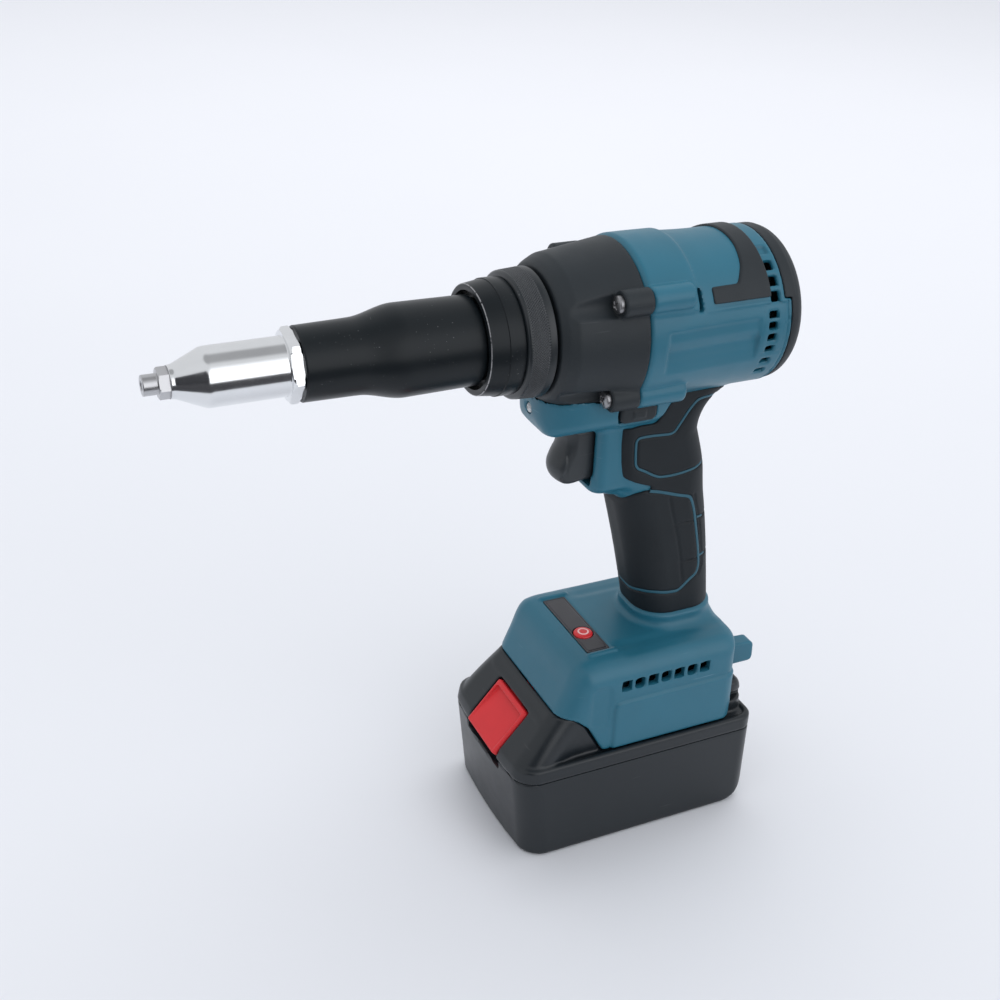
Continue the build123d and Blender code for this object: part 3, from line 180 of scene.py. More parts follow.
def share(v, start, length):
    """How far a coordinate has come along a stretch: zero before its start, one after its end."""
    return np.clip((v - start) / length, 0, 1)


def ease(s):
    """Smooth step of a share from zero to one: three times its square less twice its cube."""
    return s * s * (3 - 2 * s)


def ramp(distance, width):
    """One well below a distance of zero, zero well above it, with a smooth step of that width between."""
    return ease(np.clip(0.5 - distance / width, 0, 1))


def off_drive(y, z):
    """Distance from the drive's line."""
    return np.hypot(y, z - DRIVE_Z)


def off_button(x, y):
    """Distance from the power button's middle."""
    return np.hypot(x - POWER_X, y - POWER_Y)


def soften(points, radius, closed=True, steps=4):
    """Corners of a line rounded: each becomes a parabola that meets its sides a radius away from it."""
    p = np.array(points, float)
    radius = np.broadcast_to(np.asarray(radius, float), len(p))
    t = np.linspace(0, 1, steps + 1)[:, None]
    made = []
    for before, corner, after, r in zip(np.roll(p, 1, 0), p, np.roll(p, -1, 0), radius):
        back, ahead = before - corner, after - corner
        back_length, ahead_length = np.linalg.norm(back), np.linalg.norm(ahead)
        reach = min(r, 0.45 * back_length, 0.45 * ahead_length)
        start, end = corner + back / back_length * reach, corner + ahead / ahead_length * reach
        arc = (1 - t) ** 2 * start + 2 * t * (1 - t) * corner + t ** 2 * end
        made.append(arc if reach else corner[None])
    if not closed:
        made[0], made[-1] = p[:1], p[-1:]
    return np.concatenate(made)


# Meshes


def add_piece(name, points, faces, body, nodes, slot, finish=None, sharp=40.0, half=0):
    """One piece: its mesh in metres, doubles merged, smooth but for its sharp edges, riding on its body.

    The finish is the slot's own unless another is named. A half of plus or minus one keeps only that side
    of the tool's middle plane, with the cut closed by a flat face.
    """
    mesh = bpy.data.meshes.new(name)
    mesh.from_pydata((np.asarray(points, float) * MM).tolist(), [], np.asarray(faces).tolist())
    work = bmesh.new()
    work.from_mesh(mesh)
    bmesh.ops.remove_doubles(work, verts=work.verts, dist=MERGE_DISTANCE)
    if half:
        everything = work.verts[:] + work.edges[:] + work.faces[:]
        parted = bmesh.ops.bisect_plane(work, geom=everything, dist=1e-7, plane_co=(0, half * SEAM_GAP, 0),
                                        plane_no=(0, half, 0), clear_inner=True)
        rim = [item for item in parted["geom_cut"] if isinstance(item, bmesh.types.BMEdge)]
        bmesh.ops.triangle_fill(work, edges=rim, use_beauty=True)
    bmesh.ops.recalc_face_normals(work, faces=work.faces)
    work.to_mesh(mesh)
    work.free()
    mesh.shade_smooth()
    mesh.set_sharp_from_angle(angle=math.radians(sharp))
    mesh.materials.append(finishes[finish or slot])
    piece = bpy.data.objects.new(name, mesh)
    bpy.context.scene.collection.objects.link(piece)
    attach(piece, body)
    if nodes:
        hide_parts(*nodes)
    return piece


def slope_of(field, p, reach=0.04):
    """Gradient of a field at points, by differences over a short reach."""
    step = np.eye(3) * reach
    sides = [(field(*(p + s).T) - field(*(p - s).T)) / (2 * reach) for s in step]
    return np.stack(sides, 1)


def draw_on(field, p, limit):
    """Points moved onto a field's surface by Newton's rule: against its slope, by its value over it."""
    g = slope_of(field, p)
    move = -field(*p.T)[:, None] * g / np.maximum((g * g).sum(1, keepdims=True), 0.2)
    size = np.linalg.norm(move, axis=1, keepdims=True)
    return p + move * np.minimum(1, limit / np.maximum(size, 1e-9))


def skin(field, low, high, step, rounds=2, evening=0.6):
    """Points and quads of the surface where a field is zero.

    The field is worked out on a grid. Each cell that the surface crosses gets one point, the mean of the
    crossings on its edges, and each crossed edge gets the quad between its four cells. The points are then
    evened out along the surface and drawn onto it.
    """
    low = np.array(low, float)
    axes = [np.arange(a, b + step, step, dtype=np.float32) for a, b in zip(low, high)]
    shape = tuple(len(a) for a in axes)
    f = np.broadcast_to(field(axes[0][:, None, None], axes[1][None, :, None], axes[2][None, None, :]), shape)
    cell_step = np.array([shape[1] * shape[2], shape[2], 1])
    corners, owners, quads = [], [], []
    for a in range(3):
        b, c = (a + 1) % 3, (a + 2) % 3
        first, second = np.delete(f, -1, a), np.delete(f, 0, a)
        at = np.argwhere((first < 0) != (second < 0))
        f0, f1 = first[tuple(at.T)], second[tuple(at.T)]
        crossing = at.astype(float)
        crossing[:, a] += f0 / (f0 - f1)
        ring = []
        for db, dc in ((1, 1), (0, 1), (0, 0), (1, 0)):
            cell = at.copy()
            cell[:, b] -= db
            cell[:, c] -= dc
            ring.append(cell @ cell_step)
            owners.append(ring[-1])
            corners.append(crossing)
        ring = np.stack(ring, 1)
        quads.append(np.where((f0 < 0)[:, None], ring, ring[:, ::-1]))
    names, index = np.unique(np.concatenate(owners), return_inverse=True)
    corners = np.concatenate(corners)
    count = np.bincount(index)
    p = np.stack([np.bincount(index, corners[:, k]) / count for k in range(3)], 1) * step + low
    quads = np.searchsorted(names, np.concatenate(quads))
    before = np.roll(quads, 1, 1)
    start = np.concatenate([quads, before]).ravel()
    end = np.concatenate([before, quads]).ravel()
    degree = np.bincount(start)[:, None]
    for _ in range(rounds):
        mean = np.stack([np.bincount(start, p[end, k]) for k in range(3)], 1) / degree
        p = draw_on(field, p + evening * (mean - p), step)
    return draw_on(field, p, step), quads


def grid_faces(rows, columns, wrap_rows=False, wrap_columns=False):
    """Quads of a grid of points stored row by row, closed round either way where asked."""
    i = np.arange(rows if wrap_rows else rows - 1)[:, None]
    j = np.arange(columns if wrap_columns else columns - 1)[None, :]
    i2, j2 = (i + 1) % rows, (j + 1) % columns
    corners = (i * columns + j, i * columns + j2, i2 * columns + j2, i2 * columns + j)
    return np.stack(np.broadcast_arrays(*corners), -1).reshape(-1, 4)


def turned(profile, flats=0.0, flat_span=(0, 0), steps=120):
    """Profile of (x, radius) carried round the drive's line, held inside a hexagon between flat_span.

    The point at place u along the profile and angle v is x(u), r cos v, r sin v, where r is the profile's
    radius or the hexagon's reach at that angle, whichever is less.
    """
    profile = np.asarray(profile, float)
    v = np.arange(steps) * 2 * np.pi / steps
    r = np.repeat(profile[:, 1:], steps, 1)
    if flats:
        reach = flats / 2 / np.cos((v - HEXAGON_TURN + np.pi / 6) % (np.pi / 3) - np.pi / 6)
        inside = (profile[:, :1] >= flat_span[0]) & (profile[:, :1] <= flat_span[1])
        r = np.where(inside, np.minimum(r, reach), r)
    x = np.repeat(profile[:, :1], steps, 1)
    points = np.stack([x, r * np.cos(v), DRIVE_Z + r * np.sin(v)], -1).reshape(-1, 3)
    return points, grid_faces(len(profile), steps, True, True)


# The tool's own fields

grip_levels = np.linspace(84, 183, 12)
rear_curve = np.polyfit([86, 113, 135, 155, 170, 183], [-44.5, -41.2, -37.9, -34.4, -30.4, -26.65], 3)
front_curve = np.polyfit([86, 113, 135, 155, 176, 186], [-9.0, -3.0, 2.4, 7.8, 12.2, 13.0], 4)
grip_rear = np.stack([np.polyval(rear_curve, grip_levels), grip_levels], 1)
grip_front = np.stack([np.polyval(front_curve, grip_levels), grip_levels], 1)
web_bend = np.linspace(0, np.pi / 3, 9)
web_sweep = np.stack([-43.03 + 16.38 * np.cos(web_bend), 183 + 16.38 * np.sin(web_bend)], 1)
grip_side = np.concatenate([[(-46.4, 72)], grip_rear[:-1], web_sweep, [(-46, 203.6), (-46, 226), (13.0, 226)],
                            grip_front[::-1], [(-12.2, 72)]])
foot_floor = soften([(-90, 66), (-51, 66), (-50.2, 47.4), (20, 47.4), (21.4, 49.6), (27.6, 60.9), (33.4, 66),
                     (40.5, 66.6), (90, 66.6), (90, 140), (-90, 140)], [1, 1, 9, 2, 2, 2, 2, 2, 1, 1, 1])
foot_top = soften([(-50, 20), (-50, 90.5), (24, 90.5), (29.4, 89.4), (32.4, 86.6), (34.4, 82.6), (36.4, 76.8),
                   (38.2, 72.6), (41, 66), (54.3, 45.3), (54.3, 20)], [1, 9, 4, 2, 2, 2, 2, 2, 1, 1, 1])
chin_side = soften([(10.6, 186.6), (36, 185.2), (42.6, 188.4), (46.4, 195.6), (47.4, 207), (47.4, 232),
                    (-14.8, 232), (-14.6, 202.2), (-12.3, 200.1), (-8.6, 199), (-5.5, 194.2), (-3.4, 191.2),
                    (-1.9, 190.4), (9.6, 189.6)], [1, 5, 5, 5, 5, 1, 1, 1.4, 1.4, 1.4, 1.2, 1, 1, 1])
lip_side = soften([(0, 154), (12, 157.2), (20, 159.6), (22.8, 162.2), (22.8, 168), (0, 168)], 2.0)
lug_side = soften([(-44, 75.4), (-60.6, 74.6), (-62.0, 73.2), (-62.2, 65.8), (-61.0, 64.4), (-44, 64.4)], 1.0)
bare_front = soften([(40, 151.2), (7.0, 151.2), (6.7, 151.9), (6.4, 153.5), (5.2, 155.8), (2.7, 158.8),
                     (-0.8, 160.0), (-3.4, 160.2), (-3.4, 161.8), (3.9, 164.6), (9.4, 167.2), (10.8, 169.4),
                     (11.2, 176), (11.5, 183), (11.4, 189.4), (40, 191)], 0.8)
bare_top = soften([(60, 189.4), (9.2, 189.4), (4.8, 190.2), (-1.9, 190.2), (-3.5, 191), (-5.7, 194.1),
                   (-8.8, 198.8), (-12.4, 199.9), (-14.8, 202), (-15, 206), (-15, 240), (60, 240)], 1.2)


def grip_field(x, y, z, inset):
    """Handle and web drawn in by inset: their side outline carried across, less rounded towards the top."""
    corner = 13.5 - (3.5 + 3.5 * share(x, -6, 12)) * ease(share(z, 150, 20))
    return keep(outline(x, z, grip_side) + inset, np.abs(y) - GRIP_HALF_WIDTH + inset, corner - inset)


def motor_tube_field(x, y, z):
    """Tube that swells to the front, with a band on top, four bosses, ribs and a hollow in each side."""
    ay, rad = np.abs(y), off_drive(y, z)
    rear = -49.6 + 2.9 * ramp(241.6 - z, 0.6)
    tube = keep(rad - TUBE_RADIUS - 1.4 * ease(share(x, -26, 34)), span(x, rear, CASE_JOINT_X), 0.7)
    band = keep(keep(rad - 33.45, span(x, -8.0, CASE_JOINT_X), 1.0), 242.4 - z, 0.6)
    tube = keep(join(band, tube, 1.0), (x + rad - CASE_JOINT_X - 32.0) * 0.707, 0.4)
    for (by, bz), end in ((UPPER_BOSS, -4.6), (LOWER_BOSS, -7.2)):
        boss = keep(np.hypot(ay - by, z - bz) - BOSS_RADIUS, span(x, end, CASE_JOINT_X), 1.2)
        tube = join(tube, boss, 1.0)
    beside = share(ay, 16, 4)
    depth = np.interp(z, [218.2, 219.6, 223, 227.2, 231.4, 235.0, 235.9], [0, 0.5, 1.5, 2.2, 0.75, 0.65, 0])
    rib = 0.4 * ramp(np.abs(z - 241.5) - 0.4, 0.9) * ramp(span(x, -49, -11.5), 1.5)
    tube = tube + beside * (depth * ramp(span(x, -35.6, 5.4), 1.4) - rib)
    frame_line = np.abs(plate(x + 41.6, z - 230.5, 5.0, 10.0, 1.5)) - 0.25
    tube = tube + 0.3 * beside * ramp(frame_line, 0.7)
    tube = tube + 0.5 * ramp(np.abs(x + 48.0) - 0.35, 0.7)
    return cut(tube, brick(x, ay, z, (-9.9, -7.8), (20, 40), (241.2, 249.4), 0.6), 0.3)


def chin_field(x, y, z):
    """Chin under the gear case: its profile across a plan with a round front, its lower sides sloped in."""
    half = 16.6 + 3.4 * ease(share(x, -12, 18))
    plan = np.maximum(plate(x - 4, y, 43.6, 20.0, 19.0), np.abs(y) - half)
    chin = keep(outline(x, z, chin_side), plan, 1.6)
    chin = keep(chin, 0.878 * (188 + 0.545 * (np.abs(y) - 9) - z), 3.0)
    return keep(chin, z - 207.1, 0.8)


def foot_field(x, y, z):
    """Foot with its rounded deck, deck hollows, raised side panels, panel lips and flared pedestal."""
    foot = keep(outline(x, z, foot_top), plate(x - 5, y, 55, 34.5, 12), 10.5)
    ay = np.abs(y)
    beside = share(ay, 28, 4)
    hollow = ramp(span(ay, 19.5, 28.0), 5.0) * ramp(span(x, -43, 9), 8.0) * share(z, 80, 6)
    panel_edge = keep(span(x, -60, 15.6), z - 70.6, 3.0)
    panel = (ramp(panel_edge, 0.9) - 0.5 * ramp(np.abs(panel_edge - 0.9) - 0.3, 0.6)) * beside
    lip = ramp(keep(span(x, 10.6, 24.8), span(ay, 22.2, 24.6), 1.0), 1.2) * share(z, 84, 3)
    corner = ramp(keep(span(x, 17.5, 27), span(z, 60, 80), 3.0), 3.0) * beside
    foot = foot + 0.8 * hollow - 0.9 * panel - 0.8 * lip + 0.7 * corner
    foot = keep(foot, outline(x, z, foot_floor), 0.6)
    pedestal = keep(grip_field(x, y, z, -1.0), z - 96.4, 1.0)
    foot = join(foot, pedestal, 3.5)
    return join(foot, keep(outline(x, z, lug_side), span(y, 14.0, 21.4), 1.0), 1.0)


def case_envelope(x, y, z, gap):
    """Outside of the gear case and lock ring, grown by a gap: what the clamshell leaves free for them."""
    reach = np.interp(x, [CASE_JOINT_X, 40.4, 44.2, CASE_FRONT_X, 46.5], [33.0, 29.2, 27.3, 25.6, 25.3])
    return np.maximum(off_drive(y, z) - reach - gap, CASE_JOINT_X - x)


# Screws of the clamshell: their places along and up, and how far from the middle their heads rest
screw_places = [(-17.6, 180.0, 9.0), (-22.0, 140.0, 12.0), (-29.5, 101.0, 11.0), (27.0, 73.0, 30.5),
                (-41.0, 74.0, 30.5), (33.0, 194.6, 11.0)]

# Rear vents: the angle round the drive, half the height, and how near the drive each goes
rear_vents = [(60, 1.9, 30.6), (47, 2.0, 26), (35.5, 2.0, 26), (24.5, 2.0, 26), (12, 1.4, 26), (4, 1.4, 26),
              (-4.8, 1.4, 26), (-14, 1.4, 26), (-25, 1.4, 26), (-36, 1.4, 26)]

# Rooms inside the clamshell: their stretch along, half their width, and their stretch up
inner_rooms = [((-8, 38), 11.0, (190.2, 201)), ((-8, 43.2), 8.0, (193, 201)),
               ((0, 39.5), 9.0, (163.4, 190.4)), ((-44, 21), 24.0, (66, 87.0)),
               ((-44, 21), 31.1, (66, 80)), ((-80, 60), 31.1, (40, 63)),
               ((-36.4, -7.6), 17.4, (62, 67)), ((33, 39.5), 7.0, (62, 64.6))]


def screw_holes(x, y, z):
    """Round holes from the right side down to where the screws' heads rest."""
    return together(*(np.maximum(np.hypot(x - sx, z - sz) - SCREW_HOLE_RADIUS, y + head)
                      for sx, sz, head in screw_places))


def housing_field(x, y, z, side):
    """One half of the clamshell: tube, chin, grip core, column, lip and foot, less rooms, vents and holes."""
    ay, rad = np.abs(y), off_drive(y, z)
    hand = join(grip_field(x, y, z, 1.1), brick(x, y, z, (-8, 20.8), (-13.5, 13.5), (160, 207), 4.0), 2.0)
    hand = join(hand, keep(outline(x, z, lip_side), ay - 10.0, 3.0), 2.0)
    chin = cut(chin_field(x, y, z), case_envelope(x, y, z, 0.1), 0.9)
    shell = join(join(motor_tube_field(x, y, z), chin, 1.6), hand, 2.2)
    shell = join(shell, foot_field(x, y, z), 2.0)
    bore = 29.2 - 0.7 * ramp(span(x, -37, 7), 1.0)
    rooms = np.minimum(np.maximum(rad - bore, span(x, -60, CASE_JOINT_X)), grip_field(x, y, z, 4.2))
    for xs, half, zs in inner_rooms:
        rooms = np.minimum(rooms, shared(span(x, *xs), ay - half, span(z, *zs)))
    shell = cut(shell, rooms, 0.5)
    shell = np.minimum(shell, brick(x, ay, z, (-45, 18), (26.6, 32.5), (52.6, 56.4), 0.4))
    selector = np.maximum(plate(x - SELECTOR_X, z - SELECTOR_Z, 8.9, 4.5, 3.0), 14.2 - ay)
    panel = brick(x, y, z, (13, 23.8), (-21.5, 21.5), (89.7, 100), 0.5)
    button = np.maximum(off_button(x, y) - POWER_HOLE_RADIUS, span(z, 80, 95))
    light = np.maximum(np.hypot(y, z - LIGHT_Z) - 2.5, span(x, 42, 56))
    row = (np.clip((VENT_START_X - x) / VENT_PITCH, 0, 6) + 0.5) // 1
    vent = np.maximum(plate(x - VENT_START_X + VENT_PITCH * row, z - 78.5, 2.4, 2.3, 0.5), 30 - ay)
    holes = together(selector, panel, button, light, vent)
    for angle, half, floor in rear_vents:
        c, s = math.cos(math.radians(angle)), math.sin(math.radians(angle))
        across, out = (z - DRIVE_Z) * c - ay * s, (z - DRIVE_Z) * s + ay * c
        along = x + (42.3 if angle > 20 else 41.4)
        holes = np.minimum(holes, np.maximum(plate(along, across, 2.1, half, 0.4), floor - out))
    if side < 0:
        holes = np.minimum(holes, screw_holes(x, y, z))
    return cut(shell, holes, 0.35)


def gear_case_field(x, y, z):
    """Turned cone with four bosses, half-round reliefs before their screws, and a skirt down to the chin."""
    ay, rad = np.abs(y), off_drive(y, z)
    rear = CASE_JOINT_X + 0.1
    side = [(rear, -9), (rear, 32.9), (40.4, 29.2), (44.2, 27.4), (CASE_FRONT_X, 25.6), (CASE_FRONT_X, -9)]
    case = outline(x, rad, soften(side, [0, 0.8, 0.4, 0.8, 0.8, 0]))
    skirt = keep(plate(x - 4, y, 43.2, 19.6, 18.6), span(z, 206.6, 226), 0.25)
    case = join(case, shared(skirt, rear - x, x - CASE_FRONT_X), 2.0)
    for by, bz in (UPPER_BOSS, LOWER_BOSS):
        across = np.hypot(ay - by, z - bz)
        case = join(case, keep(across - BOSS_RADIUS, span(x, rear, SCREW_FACE_X), 0.6), 1.0)
        relief = keep(across - 5.1, span(x, SCREW_FACE_X, 43.8), 1.0)
        case = cut(case, relief, 0.5)
    bore = np.where(x < 27.2, 26.0, np.where(x < 35.2, 18.6, 13.4))
    return cut(case, rad - bore, 0.2)


def pad_field(x, y, z, side):
    """Soft skin of one side of the grip: its outside, bared where teal shows, with lines and grooves."""
    ay = np.abs(y)
    pad = grip_field(x, y, z, 0.0)
    pad = cut(pad, np.maximum(off_drive(y, z) - 32.0, -55 - x), 0.8)
    for side_view in (bare_front, bare_top):
        pad = cut(pad, outline(x, z, side_view), 0.7)
    pad = keep(pad, 96.9 - z, 0.8)
    for line in grip_lines:
        pad = pad + 0.7 * ramp(near_path(x, ay, z, line) - 0.95, 0.7)
    for groove in grip_grooves:
        pad = pad + 0.8 * ramp(near_path(x, ay, z, groove) - 0.45, 0.8)
    pad = cut(pad, grip_field(x, y, z, 2.4), 0.3)
    if side < 0:
        pad = cut(pad, screw_holes(x, y, z), 0.4)
    return pad


def pack_plan_field(x, y):
    """Plan of the battery: straight sides, round corners and a front that bows forward."""
    size = (PACK_HALF_LENGTH, PACK_HALF_WIDTH)
    bowed = plate(x + 2.4 * (y / PACK_HALF_WIDTH) ** 2 - PACK_MIDDLE_X, y, *size, 9.5)
    straight = plate(x - PACK_MIDDLE_X, y, *size, 7.0)
    return np.where(x > 0, bowed, straight)


pack_side = soften([(-57.2, -1.2), (72, -1.2), (72, 62), (-57.2, 62)], [21, 1, 1, 1], steps=10)
front_floor = soften([(20.7, 30), (20.7, 47), (22.2, 49.6), (28.4, 60.6), (34, 65.6), (41, 66.3), (90, 66.3),
                      (90, 30)], 1.2)
button_pocket = [(47.1, 61.5), (70, 44.0), (70, 36.4), (58.0, 36.4), (44.3, 56.4), (44.3, 59.2)]
rail_side = soften([(-46, 62.5), (-51.6, 61.6), (-54.2, 55.5), (-55.4, 46), (-55.4, 38), (60, 38),
                    (60, 62.5)], [2, 3, 2, 1, 1, 1, 1])
button_side = soften([(47.6, 60.4), (62.6, 43.0), (60.4, 40.6), (58.6, 42), (45, 59)], 0.8)
latch_side = soften([(45.2, 59.6), (48.4, 55.4), (46, 53.6), (35, 53.6), (35, 62.2), (41, 62.2),
                     (42.4, 59.6)], 0.5)


def lower_case_field(x, y, z):
    """Lower case: the pack's plan with a drafted front, a round rear base and a slot under the button."""
    drafted = x + 4.6 * (1 - np.clip(z, 0, SEAM_Z) / SEAM_Z) * share(x, 0, 40)
    case = keep(pack_plan_field(drafted, y), -z, 1.6)
    case = keep(case, outline(x, z, pack_side), 1.2)
    case = keep(case, z - SEAM_Z + 0.25, 0.5)
    return cut(case, brick(x, y, z, (57.6, 80), (-16.2, 16.2), (36.2, 60), 0.6), 0.5)


def upper_case_field(x, y, z):
    """Upper case: ledge, rail block with grooves and slots, sloped front block with the button's pocket."""
    ay = np.abs(y)
    plan = pack_plan_field(x, y)
    slope = ((x - 41.2) * 24.4 + (z - 67.0) * 21.0) / 32.2
    sunk = 0.8 * ramp(plan + 2.8, 1.0) * ramp(x - 46, 5.0)
    ledge = keep(keep(keep(plan, z - LEDGE_Z + sunk, 1.6), slope, 3.0), SEAM_Z - z, 0.5)
    rail_block = keep(plate(x + 4.7, y, 50.7, 30.7, 9.0), outline(x, z, rail_side), 2.5)
    case = join(ledge, np.maximum(rail_block, 42 - z), 0.8)
    front = keep(keep(slope, ay - 32.4 - 4.8 * ease(share(x, 30, 26)), 11.0), plan + 0.1, 2.5)
    front = keep(front, outline(x, z, front_floor), 0.5)
    case = join(case, np.maximum(front, 42 - z), 1.2)
    case = cut(case, keep(outline(x, z, button_pocket), ay - 14.6, 1.5), 0.5)
    grooves = brick(x, ay, z, (-80, 19.5), (26.0, 40), (52.1, 56.9), 0.4)
    latch_slot = brick(x, y, z, (33.6, 40.6), (-8, 8), (50, 70), 0.6)
    latch_room = brick(x, y, z, (38, 48), (-8, 8), (50, 60.6), 0.6)
    contact_slots = brick(x, ay, z, (-80, -9), (9.4, 12.6), (54.6, 70), 0.4)
    return cut(case, together(grooves, latch_slot, latch_room, contact_slots), 0.3)


def release_button_field(x, y, z):
    """Sloped button whose face sinks inside a rim, deeper towards its upper end, and the latch behind it."""
    button = keep(outline(x, z, button_side), np.abs(y) - 14.0, 1.6)
    down, out = (x - 47.6) * 0.653 - (z - 60.4) * 0.757, (x - 47.6) * 0.757 + (z - 60.4) * 0.653
    sunk = keep(plate(down - 14.2, y, 11.9, 12.1, 1.0), 0.085 * down - 2.0 - out, 0.3)
    button = cut(button, sunk, 0.5)
    return np.minimum(button, keep(outline(x, z, latch_side), np.abs(y) - 6.0, 0.4))


trigger_side = soften([(33.2, 188.6), (32.2, 185.6), (32.0, 182.4), (32.9, 178.8), (34.7, 175.2),
                       (36.0, 171.8), (36.0, 169.2), (34.9, 166.4), (32.6, 164.1), (30, 164.0), (26, 164.6),
                       (18, 164.8), (18, 188.6)], 1.4, steps=3)


def trigger_field(x, y, z):
    """Trigger: its side profile bowed back to each side, with an edge behind the finger's round."""
    bowed = x + 0.052 * y * y * share(x, 20, 8)
    edge = 31.4 + 0.028 * (z - 176) ** 2
    waist = 0.7 * ramp(x - edge, 0.8) * share(np.abs(y), 5, 2)
    body = keep(outline(bowed, z, trigger_side), np.abs(y) - 8.3, 2.6) + waist
    return join(body, brick(x, y, z, (11, 20), (-5, 5), (170, 183), 0.5), 0.5)


def selector_field(x, y, z):
    """Selector: a bar through the chin with a round-edged cap at each end and a thumb rib on each cap."""
    ay = np.abs(y)
    cap = keep(plate(x - SELECTOR_X, z - SELECTOR_Z, 8.1, 3.7, 2.6), span(ay, 17.0, 20.3), 1.2)
    rib = brick(x, ay, z, (5.2, 10.8), (18, 20.8), (196.4, 199.8), 0.7)
    bar = brick(x, y, z, (4.2, 11.8), (-18, 18), (195.2, 199.2), 0.2)
    return np.minimum(join(cap, rib, 0.6), bar)


cap_side = soften([(-47.4, 29.1), (-49.9, 29.1), (-49.9, 31.4), (-53.2, 31.1), (-56.0, 29.1), (-57.5, 25.7),
                   (-57.5, 22.0), (-56.7, 21.2), (-56.7, 9.0), (-57.3, 8.4), (-57.3, -5), (-53, -5),
                   (-53, 27), (-47.4, 27)], [0, 0, 0.7, 1.6, 1.6, 1.4, 0.4, 0.3, 0.3, 0.3, 0, 0, 0, 0])
band_side = soften([(-40.2, 243.4), (-14.6, 243.4), (-14.6, 249), (-26.6, 249), (-30.2, 254.4),
                    (-32.0, 259.4), (-32.4, 262.8), (-32.4, 280), (-40.2, 280)], 1.0)


def rear_cap_field(x, y, z):
    """Turned cap with a raised ring on its rear face, and a rim that reaches further forward over the top."""
    rad = off_drive(y, z)
    rim = keep(keep(span(rad, 28.6, 31.5), span(x, -52, -46.9), 0.5), 241.9 - z, 0.4)
    return np.minimum(outline(x, rad, cap_side), rim)


def shoulder_band_field(x, y, z):
    """Band over the motor's rear with a leg forward on each side: a sleeve kept inside its side outline."""
    rad = off_drive(y, z)
    return keep(keep(rad - 32.6, outline(x, z, band_side), 0.5), 31.2 - rad, 0.1)


def panel_plate_field(x, y, z):
    """Control panel: a thin plate with a fine line inside its edge and a round hole for the button."""
    line = np.abs(plate(x - 18.4, y, 4.5, 20.6, 0.8)) - 0.15
    panel = brick(x, y, z, (13.1, 23.7), (-21.4, 21.4), (89.75, 90.6), 0.3) + 0.25 * ramp(line, 0.5)
    return cut(panel, off_button(x, y) - POWER_HOLE_RADIUS, 0.15)


def power_cap_field(x, y, z):
    """Round power button whose top falls away with the square of the distance from its middle."""
    rad = off_button(x, y)
    return keep(keep(rad - 4.2, z - 91.5 + 0.03 * rad ** 2, 0.7), 83.6 - z, 0.2)


# Materials


class Wire:
    """A shader value that Python's operators work on: each operation adds one Math node."""

    def __init__(self, finish, socket):
        self.finish = finish
        self.socket = socket

    def math(self, operation, *values):
        made = self.finish.node("ShaderNodeMath", {"operation": operation}, dict(enumerate(values)))
        return Wire(self.finish, made.outputs[0])

    def __add__(self, other):
        return self.math("ADD", self, other)

    def __radd__(self, other):
        return self.math("ADD", other, self)

    def __sub__(self, other):
        return self.math("SUBTRACT", self, other)

    def __rsub__(self, other):
        return self.math("SUBTRACT", other, self)

    def __mul__(self, other):
        return self.math("MULTIPLY", self, other)

    def __rmul__(self, other):
        return self.math("MULTIPLY", other, self)

    def root(self):
        return self.math("SQRT", self)

    def sine(self):
        return self.math("SINE", self)

    def above(self, limit, width):
        """Zero under the limit and one over it, with a soft step of that width."""
        made = self.finish.node("ShaderNodeMapRange", {"interpolation_type": "SMOOTHSTEP"},
                                {"Value": self, "From Min": limit - width / 2, "From Max": limit + width / 2})
        return Wire(self.finish, made.outputs["Result"])


class Shading:
    """A node tree with one shader, the nodes that feed it and the place that they are worked out for."""

    def __init__(self, tree, shader, place):
        self.tree = tree
        self.shader = tree.nodes[shader]
        self.place = self.node("ShaderNodeTexCoord").outputs[place]

    def node(self, kind, settings=None, inputs=None):
        """A node of that kind: its settings first, then the values or links of its sockets."""
        made = self.tree.nodes.new(kind)
        for key, value in (settings or {}).items():
            setattr(made, key, value)
        self.feed(inputs or {}, made)
        return made

    def feed(self, inputs, node=None):
        """Values or links put into sockets of a node, by default the shader's."""
        for key, value in inputs.items():
            socket = (node or self.shader).inputs[key]
            source = value.socket if isinstance(value, Wire) else value
            if isinstance(source, bpy.types.NodeSocket):
                self.tree.links.new(source, socket)
            else:
                socket.default_value = source

    def towards(self, x, y, z):
        """How far the place lies along one direction."""
        made = self.node("ShaderNodeVectorMath", {"operation": "DOT_PRODUCT"}, {0: self.place, 1: (x, y, z)})
        return Wire(self, made.outputs["Value"])

    def blend(self, amount, first, second):
        """Colour between two colours or links, by an amount from zero to one."""
        made = self.node("ShaderNodeMix", {"data_type": "RGBA"}, {0: amount, 6: first, 7: second})
        return made.outputs[2]


